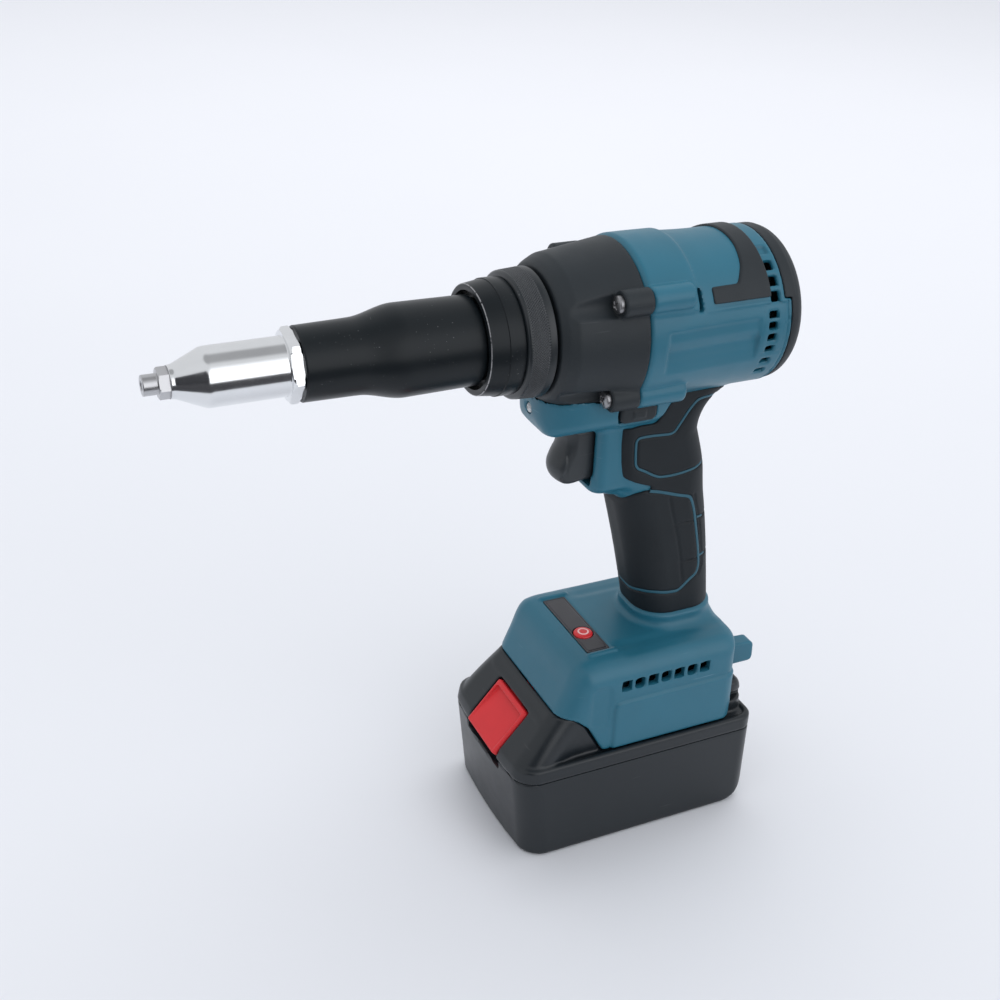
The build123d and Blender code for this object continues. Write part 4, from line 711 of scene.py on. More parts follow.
class Finish(Shading):
    """One material: a Principled shader and the patterns that feed it."""

    def __init__(self, name, roughness, metallic=0.0, **fixed):
        self.material = bpy.data.materials.new(name)
        self.material.use_nodes = True
        super().__init__(self.material.node_tree, "Principled BSDF", "Object")
        self.feed({"Roughness": roughness, "Metallic": metallic, **fixed})

    def along(self, axis):
        """One coordinate of the surface in the tool's frame, in millimetres."""
        return self.towards(*np.eye(3)[axis]) * (1 / MM)

    def noise(self, size, detail=2.0, stretch=(1, 1, 1)):
        """Cloudy value from zero to one, with features of that size in mm, stretched along the axes."""
        scaled = self.node("ShaderNodeMapping", None,
                           {"Vector": self.place, "Scale": [1 / s for s in stretch]})
        made = self.node("ShaderNodeTexNoise", None, {"Vector": scaled.outputs[0], "Scale": 1 / MM / size,
                                                      "Detail": detail, "Roughness": 0.5})
        return Wire(self, made.outputs["Fac"])

    def bump(self, height, distance):
        """Relief from a height value, whose full range stands for that distance in millimetres."""
        made = self.node("ShaderNodeBump", None, {"Strength": 1.0, "Distance": distance * MM,
                                                  "Height": height})
        self.feed({"Normal": made.outputs[0]})


def shade(colour, factor):
    """A colour made lighter or darker by a factor, as four numbers."""
    return (*(min(1.0, c * factor) for c in colour), 1.0)


def moulded_plastic(name, colour, roughness, grain=0.02, scuff=0.25, shine=0.5):
    """Moulded plastic: fine spark-eroded grain, faint mottling, and pale hair scuffs in a few places."""
    finish = Finish(name, roughness, **{"Specular IOR Level": shine})
    mottle = finish.noise(22.0, 3.0)
    hairs = finish.noise(1.6, 2.0, (14, 14, 1)).above(0.71, 0.05) * finish.noise(16.0, 2.0).above(0.58, 0.16)
    base = finish.blend(mottle, shade(colour, 0.9), shade(colour, 1.1))
    finish.feed({"Base Color": finish.blend(hairs * scuff, base, shade([c + 0.12 for c in colour], 1.2)),
                 "Roughness": roughness - 0.06 + 0.12 * finish.noise(7.0, 3.0)})
    finish.bump(finish.noise(0.55, 2.0), grain)
    return finish.material


def soft_rubber(name, colour):
    """Soft skin: matt, finely pebbled, a little polished where a hand rubs it."""
    finish = Finish(name, 0.6, **{"Specular IOR Level": 0.32})
    worn = finish.noise(26.0, 3.0)
    finish.feed({"Base Color": finish.blend(worn, shade(colour, 0.86), shade(colour, 1.2)),
                 "Roughness": 0.66 - 0.16 * worn})
    finish.bump(finish.noise(0.42, 1.0), 0.035)
    return finish.material


def blackened_metal(name, colour, shine):
    """Black finish on turned metal: lathe lines, a painted sheen on the knurl, a worn edge with painted highlight
    on the collar's front.
    """
    finish = Finish(name, 0.34, 0.0, **{"Specular IOR Level": shine})
    x = finish.along(0)
    y, z = finish.along(1), finish.along(2) - DRIVE_Z
    rad = (y * y + z * z).root()
    # Pale band on the collar's front edge: chipped wear, and also a painted highlight where the rounded edge
    # catches light
    edge = rad.above(20.72, 0.16) * (1 - rad.above(21.02, 0.12)) * x.above(72.2, 0.3)
    edge_wear_and_highlight = finish.noise(1.5, 3.0).above(0.4, 0.2) * edge
    dust = finish.noise(0.7, 1.0).above(0.76, 0.03) * finish.noise(20.0, 2.0).above(0.5, 0.2)
    smear = finish.noise(9.0, 3.0, (3, 1, 1))
    base = finish.blend(smear, shade(colour, 0.85), shade(colour, 1.2))
    # Painted sheen: the knurl's band is made paler to stand in for light catching its ridges
    knurl = x.above(50.8, 0.3) * (1 - x.above(57.4, 0.3)) * rad.above(23.6, 0.2)
    base = finish.blend(knurl, base, (0.042, 0.046, 0.051, 1))
    base = finish.blend(dust * 0.3, base, (0.3, 0.31, 0.32, 1))
    finish.feed({"Base Color": finish.blend(edge_wear_and_highlight, base, (0.34, 0.34, 0.35, 1)),
                 "Metallic": edge_wear_and_highlight * 0.6, "Roughness": 0.27 + 0.14 * smear})
    finish.bump(finish.noise(0.3, 1.0, (1, 40, 40)), 0.006)
    return finish.material


def bright_plate(name, colour, roughness, pits):
    """Plated or machined bright metal: turning lines round the drive, faint smears and a few small pits."""
    finish = Finish(name, roughness, 1.0)
    smear = finish.noise(8.0, 4.0)
    spots = finish.noise(0.9, 2.0).above(0.74, 0.05) * pits
    base = finish.blend(smear, shade(colour, 0.93), shade(colour, 1.04))
    finish.feed({"Base Color": finish.blend(spots, base, shade(colour, 0.45)),
                 "Roughness": roughness + 0.1 * smear + 0.2 * spots})
    finish.bump(finish.noise(0.35, 1.0, (1, 40, 40)), 0.004)
    return finish.material


def glossy_plastic(name, colour, roughness, shine=0.6):
    """Smooth shiny plastic with faint flow marks and finger smears."""
    finish = Finish(name, roughness, **{"Coat Roughness": 0.08, "Specular IOR Level": 0.35})
    smear = finish.noise(6.0, 4.0)
    finish.feed({"Base Color": finish.blend(finish.noise(14.0), shade(colour, 0.9), shade(colour, 1.1)),
                 "Roughness": roughness + 0.14 * smear, "Coat Weight": shine * smear})
    finish.bump(finish.noise(1.6, 2.0), 0.006)
    return finish.material


def power_mark(name, colour):
    """Red button printed with a plain ring in a paler red."""
    finish = Finish(name, 0.3)
    x, y = finish.along(0) - POWER_X, finish.along(1) - POWER_Y
    rad = (x * x + y * y).root()
    ring = rad.above(1.75, 0.2) * (1 - rad.above(2.45, 0.2))
    print_share = ring * finish.along(2).above(91.0, 0.2)
    base = finish.blend(finish.noise(5.0), shade(colour, 0.9), shade(colour, 1.1))
    finish.feed({"Base Color": finish.blend(print_share, base, (0.85, 0.5, 0.5, 1))})
    finish.bump(finish.noise(1.0, 2.0), 0.006)
    return finish.material


def wound_wire(name, colour):
    """Enamelled copper wire laid in turns: ridges across the coil and a warm sheen."""
    finish = Finish(name, 0.35, 1.0)
    turns = (finish.along(0) * 8.0).sine()
    finish.feed({"Base Color": finish.blend(finish.noise(3.0), shade(colour, 0.75), shade(colour, 1.1))})
    finish.bump(turns, 0.15)
    return finish.material


def circuit_board(name, colour):
    """Green lacquered board with a pattern of paler tracks."""
    finish = Finish(name, 0.4)
    tracks = finish.noise(3.0, 0.0, (6, 1, 1)).above(0.52, 0.03)
    finish.feed({"Base Color": finish.blend(tracks, shade(colour, 0.7), shade(colour, 1.5))})
    finish.bump(tracks, 0.04)
    return finish.material


def clear_lens(name):
    """Milky clear lens of the work light, faintly clouded."""
    finish = Finish(name, 0.12, **{"Transmission Weight": 0.4, "IOR": 1.46})
    finish.feed({"Base Color": finish.blend(finish.noise(1.2), (0.8, 0.84, 0.88, 1), (0.95, 0.96, 0.97, 1))})
    finish.bump(finish.noise(0.8), 0.01)
    return finish.material


def make_finishes(colours):
    """Every finish of the tool by its name, which is its slot's where it is the slot's own."""
    finishes.update(
        teal_plastic=moulded_plastic("teal plastic", colours.teal, 0.40, 0.016, 0.35),
        black_plastic=moulded_plastic("black plastic", colours.black, 0.5, 0.03, 0.12, 0.34),
        soft_grip=soft_rubber("soft grip", colours.rubber),
        black_metal=blackened_metal("black metal", colours.black_metal, 0.26),
        # The lock ring's finish is the black metal made 1.4 times paler: a painted sheen for the light on its
        # knurl
        knurl_metal=blackened_metal("knurled black metal with painted sheen", [1.4 * c for c in colours.black_metal], 0.55),
        grip_line=moulded_plastic("grip line teal", [0.68 * c for c in colours.teal], 0.5, 0.016, 0.1),
        screw_steel=bright_plate("screw steel", (0.34, 0.34, 0.35), 0.3, 0.5),
        bright_chrome=bright_plate("bright chrome", (0.82, 0.83, 0.84), 0.1, 0.25),
        steel=bright_plate("machined steel", (0.55, 0.55, 0.56), 0.26, 0.4),
        red_plastic=glossy_plastic("red plastic", colours.red, 0.36, 0.1),
        panel_plastic=glossy_plastic("panel plastic", (0.03, 0.03, 0.036), 0.36),
        copper=wound_wire("copper wire", (0.7, 0.32, 0.16)),
        board=circuit_board("circuit board", (0.03, 0.15, 0.07)),
        cell_sleeve=glossy_plastic("cell sleeve", (0.08, 0.2, 0.4), 0.35),
        lens=clear_lens("light lens"),
        pack_plastic=moulded_plastic("pack plastic", colours.pack, 0.32, 0.02, 0.12, 0.46),
        trigger_plastic=moulded_plastic("trigger plastic", colours.black, 0.4, 0.02, 0.2, 0.6),
        mark=power_mark("button red", colours.red),
    )


# Pieces


def field_piece(name, field, low, high, step, body, nodes, slot, finish=None, sharp=60.0, half=0):
    """A piece whose surface is where a field is zero, inside a box and with points about one step apart."""
    points, faces = skin(field, low, high, step * (1.0))
    return add_piece(name, points, faces, body, nodes, slot, finish, sharp, half)


def turned_piece(name, profile, node, slot, sharp=40.0, shift=(0, 0, 0), **shape):
    """A piece of the tool turned from a profile about the drive's line, then shifted off it where asked."""
    points, faces = turned(profile, **shape)
    return add_piece(name, points + shift, faces, "tool", [node], slot, None, sharp)


class RivetGunSizes(bpy.types.PropertyGroup):
    """Sizes of the moulded and knurled surfaces."""

    mould_step: FloatProperty(name="Mould step",
                              description="Distance between points on the large mouldings, in mm",
                              default=0.85, min=0.4, max=3.0)
    detail_step: FloatProperty(name="Detail step",
                               description="Distance between points on small mouldings, in mm", default=0.5,
                               min=0.25, max=2.0)
    knurl_count: IntProperty(name="Knurl lines", description="Slanted lines round the lock ring", default=150,
                             min=24, max=400)
    knurl_depth: FloatProperty(name="Knurl depth", description="Depth of the lock ring's lines, in mm",
                               default=0.46, min=0.0, max=1.0)
    line_width: FloatProperty(name="Grip line", description="Width of the teal lines in the grip, in mm",
                              default=1.15, min=0.4, max=3.0)


class RivetGunColours(bpy.types.PropertyGroup):
    """Colours of the tool's finishes."""

    teal: FloatVectorProperty(name="Teal", description="Clamshell plastic", subtype="COLOR",
                              default=(0.0142, 0.120, 0.182), min=0, max=1)
    black: FloatVectorProperty(name="Black", description="Gear case, trigger and rear cap plastic",
                               subtype="COLOR", default=(0.0165, 0.0215, 0.0258), min=0, max=1)
    rubber: FloatVectorProperty(name="Rubber", description="Soft grip skin", subtype="COLOR",
                                default=(0.0062, 0.0098, 0.0132), min=0, max=1)
    black_metal: FloatVectorProperty(name="Black metal", description="Barrel, collar and lock ring",
                                     subtype="COLOR", default=(0.0056, 0.0083, 0.0105), min=0, max=1)
    pack: FloatVectorProperty(name="Battery", description="Battery case plastic", subtype="COLOR",
                              default=(0.0092, 0.0130, 0.0166), min=0, max=1)
    red: FloatVectorProperty(name="Red", description="Power and release buttons", subtype="COLOR",
                             default=(0.62, 0.023, 0.029), min=0, max=1)


class RivetGunOperator:
    """What the tool's operators share."""

    bl_options = {"REGISTER", "UNDO"}


class RIVETGUN_OT_nose(RivetGunOperator, bpy.types.Operator):
    """Nosepiece, chromed sleeve and black barrel, turned about the drive"""

    bl_idname = "rivet_gun.nose"
    bl_label = "Nose and barrel"

    def execute(self, context):
        tip = [(171.2, 1.75), (171.2, 2.8), (175, 2.8), (177, 4.0), (184.1, 4.0), (184.1, 5.9), (184.6, 6.3),
               (187.4, 6.3), (187.95, 5.0), (188.0, 3.74), (193.2, 3.74), (193.2, 1.75)]
        tip = soften(tip, [0, 0.2, 0.4, 0.4, 0, 0.1, 0.4, 0.4, 0.3, 0.3, 0.5, 0.35])
        turned_piece("nosepiece_tip", tip, "nosepiece", "steel", 28, flats=10.0, flat_span=(184.15, 187.97))
        end = BARREL_END_X
        sleeve = [(122, 8.6), (122, 10.6), (end, 10.6), (end, 12.4), (139.9, 13.9), (142.5, 13.9),
                  (143.5, 12.4), (143.5, 10.85), (171.9, 10.85), (182.6, 6.05), (184.1, 5.9), (184.2, 4.0),
                  (177, 4.0), (166, 8.6)]
        sleeve = soften(sleeve, [0, 0, 0, 0.2, 0.5, 0.5, 0.2, 0.6, 1.2, 0.5, 0.3, 0.3, 0, 0])
        turned_piece("chrome_sleeve", sleeve, "nose_sleeve", "bright_chrome", 24, flats=24.0,
                     flat_span=(end, 143.5), steps=144)
        flare = np.linspace(0, 1, 17)
        body = np.stack([118.2 - 17.4 * flare, 14.1 + 3.25 * ease(flare)], 1)
        rear = [(100.2, 17.35), (COLLAR_FRONT_X, 17.0), (COLLAR_FRONT_X, 15.5), (60, 15.5), (60, 12.9),
                (80, 12.9), (80, 11.5), (122, 11.5), (122, 10.6), (end, 10.6)]
        front = [(end, 13.3), (138.4, 13.8), (137.6, 13.8), (119.6, 14.05)]
        turned_piece("barrel_tube", np.concatenate([front, body, rear]), "barrel", "black_metal", 30,
                     steps=160)
        return {"FINISHED"}


class RIVETGUN_OT_collar(RivetGunOperator, bpy.types.Operator):
    """Collar with its open mouth, and the knurled lock ring behind it"""

    bl_idname = "rivet_gun.collar"
    bl_label = "Collar and lock ring"

    def execute(self, context):
        sizes = context.scene.rivet_gun_sizes
        side = [(CASE_FRONT_X, 15), (CASE_FRONT_X, 21), (58.9, 21), (58.9, 22.3), (65.4, 22.3), (65.4, 21.95),
                (72.4, 21.0), (COLLAR_FRONT_X, 20.4), (COLLAR_FRONT_X, 18.6), (68.6, 18.6), (68.6, 15.5),
                (60, 15.5), (60, 15)]
        side = soften(side, [0, 0, 0, 0.4, 0.25, 0.2, 0.5, 0.3, 0.3, 0.3, 0, 0, 0])
        turned_piece("barrel_collar", side, "collar", "black_metal", 30, steps=160)

        # Radius at place x and angle v: the ring's own and a slanted wave, which a second wave cuts a little
        rear, front = RING_SPAN_X
        around = np.arange(sizes.knurl_count * 8) * 2 * np.pi / (sizes.knurl_count * 8)
        outer = np.concatenate([[rear, 47.6, 48.0, 48.6, 50.2, 50.7], np.linspace(51, 57.2, 33),
                                [57.5, 58.0, 58.5, front]])
        base = np.interp(outer, [rear, 48.0, 50.2, 50.7, 57.2, 58.0, front],
                         [24.2, 24.85, 24.85, 24.6, 24.25, 24.3, 23.5])
        wave = np.cos(sizes.knurl_count * around[None] + 5.6 * (outer[:, None] - 54))
        counter = np.cos(sizes.knurl_count * around[None] - 5.6 * (outer[:, None] - 54))
        band = ((outer > 50.9) & (outer < 57.3))[:, None]
        relief = sizes.knurl_depth * (0.5 + 0.5 * wave) * (0.86 + 0.14 * counter)
        rings = np.where(band, base[:, None] - sizes.knurl_depth / 2 + relief, base[:, None])
        rings = np.concatenate([rings, np.full((2, len(around)), 21.0)])
        x = np.repeat(np.concatenate([outer, [front, rear]])[:, None], len(around), 1)
        points = np.stack([x, rings * np.cos(around), DRIVE_Z + rings * np.sin(around)], -1).reshape(-1, 3)
        faces = grid_faces(len(x), len(around), True, True)
        add_piece("lock_ring", points, faces, "tool", ["knurled_ring"], "black_metal", "knurl_metal", 50)
        return {"FINISHED"}


class RIVETGUN_OT_gear_case(RivetGunOperator, bpy.types.Operator):
    """Gear case with its four cross-recessed screws"""

    bl_idname = "rivet_gun.gear_case"
    bl_label = "Gear case"

    def execute(self, context):
        step = context.scene.rivet_gun_sizes.mould_step * 0.85
        field_piece("gear_case_moulding", gear_case_field, (11, -36, 204), (49, 36, 266), step, "tool",
                    ["gear_case"], "black_plastic")

        # Height of a screw at radius p and angle v: a dome less a cross-shaped recess, then rim and shank
        rim = 3.4
        dome = np.linspace(0, 3.1, 32)
        p = np.concatenate([dome, [3.25, 3.36, rim, rim, 2.0, 2.0, 0.0]])[:, None]
        v = np.arange(96) * 2 * np.pi / 96
        height = np.concatenate([2.4 - 0.9 * (dome / rim) ** 2, [1.5, 1.3, 1.0, 0.0, 0.0, -31, -31]])
        a, b = np.abs(p * np.cos(v + np.pi / 4)), np.abs(p * np.sin(v + np.pi / 4))
        cross = np.minimum(keep(a - 1.7, b - 0.42, 0.2), keep(b - 1.7, a - 0.42, 0.2))
        on_top = (np.arange(len(p)) < 30)[:, None]
        up = height[:, None] - 1.1 * ramp(cross, 0.35) * on_top
        made, faces = [], []
        for side in (1, -1):
            for by, bz in (UPPER_BOSS, LOWER_BOSS):
                place = np.stack([SCREW_FACE_X + up, side * by + p * np.cos(v), bz + p * np.sin(v)], -1)
                faces.append(grid_faces(len(p), len(v), False, True) + sum(len(m) for m in made))
                made.append(place.reshape(-1, 3))
        add_piece("case_screws", np.concatenate(made), np.concatenate(faces), "tool", ["gear_case_screws"],
                  "bright_chrome", "screw_steel", 35)
        return {"FINISHED"}


class RIVETGUN_OT_housing(RivetGunOperator, bpy.types.Operator):
    """Left and right halves of the teal clamshell"""

    bl_idname = "rivet_gun.housing"
    bl_label = "Clamshell"

    def execute(self, context):
        step = context.scene.rivet_gun_sizes.mould_step
        for name, node, side in (("left_shell", "left_housing", 1), ("right_shell", "right_housing", -1)):
            ys = (-2.6, 37.5) if side > 0 else (-37.5, 2.6)
            field_piece(name, partial(housing_field, side=side), (-68, ys[0], 45), (52, ys[1], 266), step,
                        "tool", [node], "teal_plastic", half=side)
        return {"FINISHED"}


class RIVETGUN_OT_rear(RivetGunOperator, bpy.types.Operator):
    """Rear cap and the band over the motor's shoulder"""

    bl_idname = "rivet_gun.rear"
    bl_label = "Rear cap and shoulder band"

    def execute(self, context):
        step = context.scene.rivet_gun_sizes.detail_step
        field_piece("motor_cap", rear_cap_field, (-59, -33, 197), (-45.5, 33, 263), step * 1.3, "tool",
                    ["rear_cap"], "black_plastic", sharp=50)
        field_piece("shoulder_trim", shoulder_band_field, (-42, -34.5, 241), (-13, 34.5, 264.5), step, "tool",
                    ["shoulder_band"], "black_plastic")
        return {"FINISHED"}


# Lines and grooves of the grip, as points on its left side
palm_line = np.array([(-2.8, 16.0, 159.7), (-7.5, 16.2, 158.5), (-12.4, 16.2, 156.8), (-17.4, 16.2, 155.0),
                      (-22.7, 16.1, 153.5), (-24.4, 15.9, 150.5), (-26.1, 15.7, 145.3), (-28.2, 15.6, 136.1),
                      (-30.3, 15.4, 126.8), (-31.6, 15.4, 118.5), (-30.7, 15.8, 114.6), (-27.2, 16.2, 112.4),
                      (-24.0, 16.2, 109.3), (-21.7, 16.2, 107.6), (-16.8, 16.1, 107.8), (-11.3, 14.4, 108.4),
                      (-6.5, 9.9, 108.0), (-4.9, 2.6, 106.4), (-4.8, 0.1, 106.2)])
thumb_line = np.array([(-33.0, 9.0, 197.4), (-30.6, 13.2, 197.4), (-24.8, 16.0, 198.2), (-21.2, 16.2, 197.8),
                       (-17.7, 16.2, 193.9), (-14.9, 16.2, 189.5), (-11.9, 16.2, 185.0), (-9.9, 16.2, 184.3),
                       (-4.8, 16.2, 184.7), (-0.2, 16.2, 185.0), (4.6, 16.2, 184.9), (5.6, 16.1, 183.4),
                       (5.5, 16.1, 178.6), (5.0, 16.1, 173.0), (3.7, 16.2, 171.1), (0.4, 16.2, 169.4),
                       (-3.9, 16.2, 166.7), (-6.8, 16.2, 165.4), (-12.5, 16.2, 165.1), (-17.6, 16.2, 165.5),
                       (-22.1, 15.7, 166.3), (-26.1, 13.8, 167.0), (-28.3, 11.8, 167.2), (-30.8, 5.0, 168.0)])
seam_groove = np.array([(-12.6, 16.2, 154.9), (-14.2, 16.2, 148.9), (-16.5, 16.2, 141.3),
                        (-18.8, 16.2, 133.6), (-20.7, 16.2, 125.8), (-22.0, 16.2, 118.1),
                        (-23.1, 16.2, 112.8)])
rear_groove = np.array([(-24.9, 15.5, 154.0), (-27.1, 15.3, 146.8), (-28.9, 14.9, 142.4),
                        (-30.9, 14.7, 132.7), (-32.6, 14.6, 123.3), (-33.6, 14.4, 118.0),
                        (-31.4, 15.6, 113.6)])
cross_grooves = [np.array([(-16.5, 16.2, 141.1), (-26.6, 15.7, 141.3)]),
                 np.array([(-21.6, 16.2, 121.9), (-30.6, 15.4, 122.1)]),
                 np.array([(-31.3, 13.5, 141.7), (-35.6, 8.0, 141.4)]),
                 np.array([(-34.9, 13.2, 122.5), (-38.6, 8.0, 122.3)])]
tick_lines = [np.array([(-27.6, 15.4, 142.3), (-31.3, 13.5, 141.7)]),
              np.array([(-31.2, 15.3, 122.8), (-34.9, 13.2, 122.5)])]
grip_lines = (palm_line, thumb_line, *tick_lines)
grip_grooves = (seam_groove, rear_groove, *cross_grooves)


def inlay(name, route, width, side):
    """Line let into the grip: a six-point profile carried along a route drawn onto the grip's surface."""
    field = partial(grip_field, inset=0.25)
    smooth = soften(route, 2.2, closed=False)
    reach = np.concatenate([[0], np.cumsum(np.linalg.norm(np.diff(smooth, axis=0), axis=1))])
    at = np.linspace(0, reach[-1], int(reach[-1] / 0.7) + 2)
    path = np.stack([np.interp(at, reach, smooth[:, k]) for k in range(3)], 1)
    for _ in range(6):
        path = draw_on(field, path, 3.0)
    ahead = np.gradient(path, axis=0)
    normal = slope_of(field, path)
    normal /= np.linalg.norm(normal, axis=1, keepdims=True)
    across = np.cross(ahead, normal)
    across /= np.linalg.norm(across, axis=1, keepdims=True)
    offsets = [(-0.5, -1.2), (-0.5, -0.1), (-0.3, 0.06), (0.3, 0.06), (0.5, -0.1), (0.5, -1.2)]
    rows = np.stack([path + width * o * across + n * normal for o, n in offsets], 1) * (1, side, 1)
    faces = grid_faces(len(path), len(offsets), False, True)
    add_piece(name, rows.reshape(-1, 3), faces, "tool", [], "teal_plastic", "grip_line", 50)


class RIVETGUN_OT_grip(RivetGunOperator, bpy.types.Operator):
    """Soft pads of the grip and the teal lines let into them"""

    bl_idname = "rivet_gun.grip"
    bl_label = "Grip pads"

    def execute(self, context):
        sizes = context.scene.rivet_gun_sizes
        for label, side in (("left", 1), ("right", -1)):
            ys = (-2.2, 18) if side > 0 else (-18, 2.2)
            field_piece(f"{label}_pad", partial(pad_field, side=side), (-58, ys[0], 95), (14, ys[1], 216),
                        sizes.mould_step * 0.75, "tool", [f"grip_pad_{label}"], "soft_grip", half=side)
            inlay(f"{label}_palm_line", palm_line, sizes.line_width * 1.15, side)
            inlay(f"{label}_thumb_line", thumb_line, sizes.line_width * 0.9, side)
            for place, tick in zip(("upper", "lower"), tick_lines):
                inlay(f"{label}_{place}_tick", tick, sizes.line_width * 0.8, side)
        return {"FINISHED"}


class RIVETGUN_OT_trigger(RivetGunOperator, bpy.types.Operator):
    """Trigger, direction selector and work light"""

    bl_idname = "rivet_gun.trigger"
    bl_label = "Trigger and selector"

    def execute(self, context):
        step = context.scene.rivet_gun_sizes.detail_step
        field_piece("finger_trigger", trigger_field, (9.5, -10, 163), (39, 10, 190), step, "trigger",
                    ["trigger"], "black_plastic", "trigger_plastic")
        field_piece("direction_selector", selector_field, (-2, -22, 192), (17, 22, 202.5), step, "selector",
                    ["selector"], "black_plastic")

        # Lens: a rod with a domed front, turned about its own line below the drive
        side = np.array([(43.5, 0.001), (43.5, 2.2), (46.9, 2.2), (47.6, 1.9), (48.0, 1.2), (48.2, 0.001)])
        side = soften(side, [0, 0.2, 0.3, 0.3, 0.3, 0], steps=3)
        turned_piece("light_lens", side, "led_lens", "lens", shift=(-1.6, 0, LIGHT_Z - DRIVE_Z), steps=48)
        return {"FINISHED"}


class RIVETGUN_OT_control_panel(RivetGunOperator, bpy.types.Operator):
    """Control panel on the foot with its red power button"""

    bl_idname = "rivet_gun.control_panel"
    bl_label = "Control panel"

    def execute(self, context):
        step = context.scene.rivet_gun_sizes.detail_step
        field_piece("panel_plate", panel_plate_field, (12, -23, 88.5), (25, 23, 92), step * 0.8, "tool",
                    ["control_panel"], "panel_plastic")
        field_piece("power_cap", power_cap_field, (13, 2, 82.5), (24, 13, 93), step * 0.7, "power_button",
                    ["power_button"], "red_plastic", "mark")
        return {"FINISHED"}


class RIVETGUN_OT_battery(RivetGunOperator, bpy.types.Operator):
    """Battery cases and the red release button"""

    bl_idname = "rivet_gun.battery"
    bl_label = "Battery"

    def execute(self, context):
        sizes = context.scene.rivet_gun_sizes
        field_piece("pack_lower", lower_case_field, (-58, -39.5, -2), (64, 39.5, 43), sizes.mould_step,
                    "battery", ["battery_lower_case"], "black_plastic", "pack_plastic")
        field_piece("pack_upper", upper_case_field, (-58, -39.5, 38.5), (64, 39.5, 69),
                    sizes.mould_step * 0.85, "battery", ["battery_upper_case"], "black_plastic",
                    "pack_plastic")
        field_piece("pack_release", release_button_field, (33.5, -17, 39), (65, 17, 64), sizes.detail_step,
                    "release_button", ["release_button"], "red_plastic")
        return {"FINISHED"}


class RIVETGUN_OT_inner_parts(RivetGunOperator, bpy.types.Operator):
    """Finishes of the gears, motor, boards, cells and springs, which keep their own solids"""

    bl_idname = "rivet_gun.inner_parts"
    bl_label = "Inner parts"

    def execute(self, context):
        for part in frame["record"]["subparts"]:
            node = frame["nodes"][part["node"]]
            node.data.materials.clear()
            dark = part["node"] == "stator"
            node.data.materials.append(finishes["black_metal" if dark else part["material_slot"]])

        # Each spring that a joint presses gets a mesh of its own
        for joint in frame["joints"]:
            for spring in joint.get("deforming_nodes", []):
                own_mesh(frame["nodes"][spring["node"]])
        return {"FINISHED"}


def add_sheet(name, corners, finish):
    """A flat sheet of the stage between its corners, in metres."""
    mesh = bpy.data.meshes.new(name)
    mesh.from_pydata(corners.tolist(), [], [range(len(corners))])
    mesh.materials.append(finish.material)
    sheet = bpy.data.objects.new(name, mesh)
    bpy.context.scene.collection.objects.link(sheet)
    return sheet


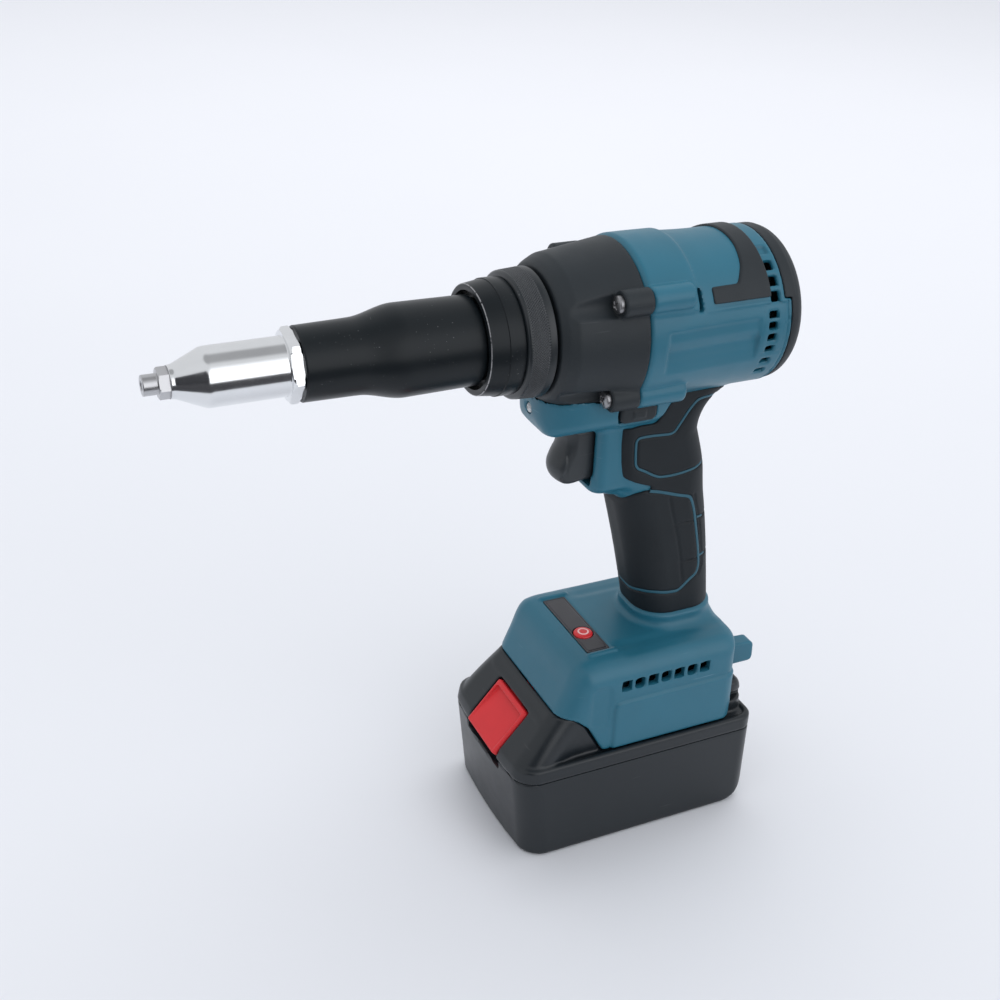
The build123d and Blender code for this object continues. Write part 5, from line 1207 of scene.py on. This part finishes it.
class RIVETGUN_OT_stage(RivetGunOperator, bpy.types.Operator):
    """Pale floor, black felt for the bright metal, a soft lamp, the room's light and the camera"""

    bl_idname = "rivet_gun.stage"
    bl_label = "Stage"

    def execute(self, context):
        scene = context.scene
        scene.view_settings.view_transform = "Standard"
        paper = Finish("pale paper", 0.9, **{"Specular IOR Level": 0.1})
        mottle = paper.noise(400.0)
        # Painted light: the floor is paler further from the camera, where the lamp's light falls short
        near_sheet = paper.blend(mottle, (0.735, 0.75, 0.79, 1), (0.755, 0.77, 0.81, 1))
        far_sheet_painted_light = paper.blend(mottle, (0.86, 0.87, 0.91, 1), (0.88, 0.89, 0.93, 1))
        sheet_colour = paper.blend(paper.towards(-0.433, -0.901, 0).above(0.95, 1.9), near_sheet, far_sheet_painted_light)
        paper.feed({"Base Color": sheet_colour})
        half, below, above = 5, -0.0002, 0.0001
        floor = [(-half, -half, below), (half, -half, below), (half, half, below), (-half, half, below)]
        add_sheet("floor", np.array(floor), paper)

        # Black felt that only the bright metal shows: a mat on the floor before the tool, a screen beyond it
        felt = Finish("black felt", 0.9, **{"Specular IOR Level": 0.1})
        felt.feed({"Base Color": felt.blend(felt.noise(50.0), (0.045, 0.045, 0.05, 1),
                                            (0.055, 0.055, 0.06, 1))})
        mat = np.array([(-half, 2.11, above), (half, -1.39, above), (half, half, above),
                        (-half, half, above)])
        beyond = np.array((0.62, 0.78, 0.24))
        turn = np.linspace(0, 2 * np.pi, 48, endpoint=False)[:, None]
        screen = 4.5 * beyond + np.cos(turn) * (1.32, -1.05, 0) + np.sin(turn) * (0, 0, 2.7)
        for name, corners in (("felt mat", mat), ("felt screen", screen)):
            card = add_sheet(name, corners, felt)
            card.visible_camera = False
            card.visible_diffuse = False
            card.visible_shadow = False

        place, aim = Vector((-0.35, -0.45, 2.2)), Vector((0.03, 0, 0.12))
        lamp = bpy.data.lights.new("top softbox", "AREA")
        lamp.size = 1.7
        lamp.energy = 22.0
        holder = bpy.data.objects.new("top softbox", lamp)
        holder.visible_glossy = False
        scene.collection.objects.link(holder)
        holder.location = place
        holder.rotation_euler = (aim - place).to_track_quat("-Z", "Y").to_euler()

        # The room: pale walls, a darker ceiling and a bright window behind the camera
        scene.world = bpy.data.worlds.new("room")
        scene.world.use_nodes = True
        room = Shading(scene.world.node_tree, "Background", "Generated")
        ceiling = room.towards(0, 0, 1).above(0.93, 0.08)
        window = room.towards(-0.28, 0.94, 0.2).above(0.8, 0.22)
        light = 0.62 - 0.3 * ceiling + 0.66 * window
        room.feed({"Color": room.blend(light * 0.5, (0, 0, 0, 1), (2.46, 2.50, 2.58, 1))})

        # The camera stands where the photograph's stood: its place, then its heading, tilt and roll
        stand = (0.26817, 0.43980, 0.42583)
        heading, tilt, roll = 0.44768, 0.49998, 0.0390
        level = math.cos(tilt)
        ahead = Vector((-math.sin(heading) * level, -math.cos(heading) * level, -math.sin(tilt)))
        right = Vector((-math.cos(heading), math.sin(heading), 0))
        up = right.cross(ahead)
        right, up = math.cos(roll) * right + math.sin(roll) * up, math.cos(roll) * up - math.sin(roll) * right
        lens = bpy.data.cameras.new("camera")
        lens.lens = 50.09
        lens.sensor_width = 36.0
        lens.clip_start = 0.01
        camera = bpy.data.objects.new("camera", lens)
        scene.collection.objects.link(camera)
        facing = Matrix((right, up, -ahead)).transposed().to_4x4()
        camera.matrix_world = Matrix.Translation(stand) @ facing
        scene.camera = camera
        return {"FINISHED"}


build_order = ("inner_parts", "nose", "collar", "gear_case", "housing", "rear", "grip", "trigger",
               "control_panel", "battery", "stage")


class RIVETGUN_PT_panel(bpy.types.Panel):
    """Sidebar panel with the tool's sizes, colours and pieces"""

    bl_label = "Rivet gun"
    bl_space_type = "VIEW_3D"
    bl_region_type = "UI"
    bl_category = "Rivet gun"

    def draw(self, context):
        for group in (context.scene.rivet_gun_sizes, context.scene.rivet_gun_colours):
            box = self.layout.box()
            for key in group.__annotations__:
                box.prop(group, key)
        for piece in build_order:
            self.layout.operator(f"rivet_gun.{piece}")


classes = (RivetGunSizes, RivetGunColours, RIVETGUN_OT_nose, RIVETGUN_OT_collar, RIVETGUN_OT_gear_case,
           RIVETGUN_OT_housing, RIVETGUN_OT_rear, RIVETGUN_OT_grip, RIVETGUN_OT_trigger,
           RIVETGUN_OT_control_panel, RIVETGUN_OT_battery, RIVETGUN_OT_inner_parts, RIVETGUN_OT_stage,
           RIVETGUN_PT_panel)


def register():
    for item in classes:
        bpy.utils.register_class(item)
    bpy.types.Scene.rivet_gun_sizes = PointerProperty(type=RivetGunSizes)
    bpy.types.Scene.rivet_gun_colours = PointerProperty(type=RivetGunColours)


def unregister():
    del bpy.types.Scene.rivet_gun_colours
    del bpy.types.Scene.rivet_gun_sizes
    for item in reversed(classes):
        bpy.utils.unregister_class(item)


def main():
    """Registers the add-on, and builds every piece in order."""
    register()
    make_finishes(bpy.context.scene.rivet_gun_colours)
    for piece in build_order:
        getattr(bpy.ops.rivet_gun, piece)()


if __name__ == "__main__":
    main()
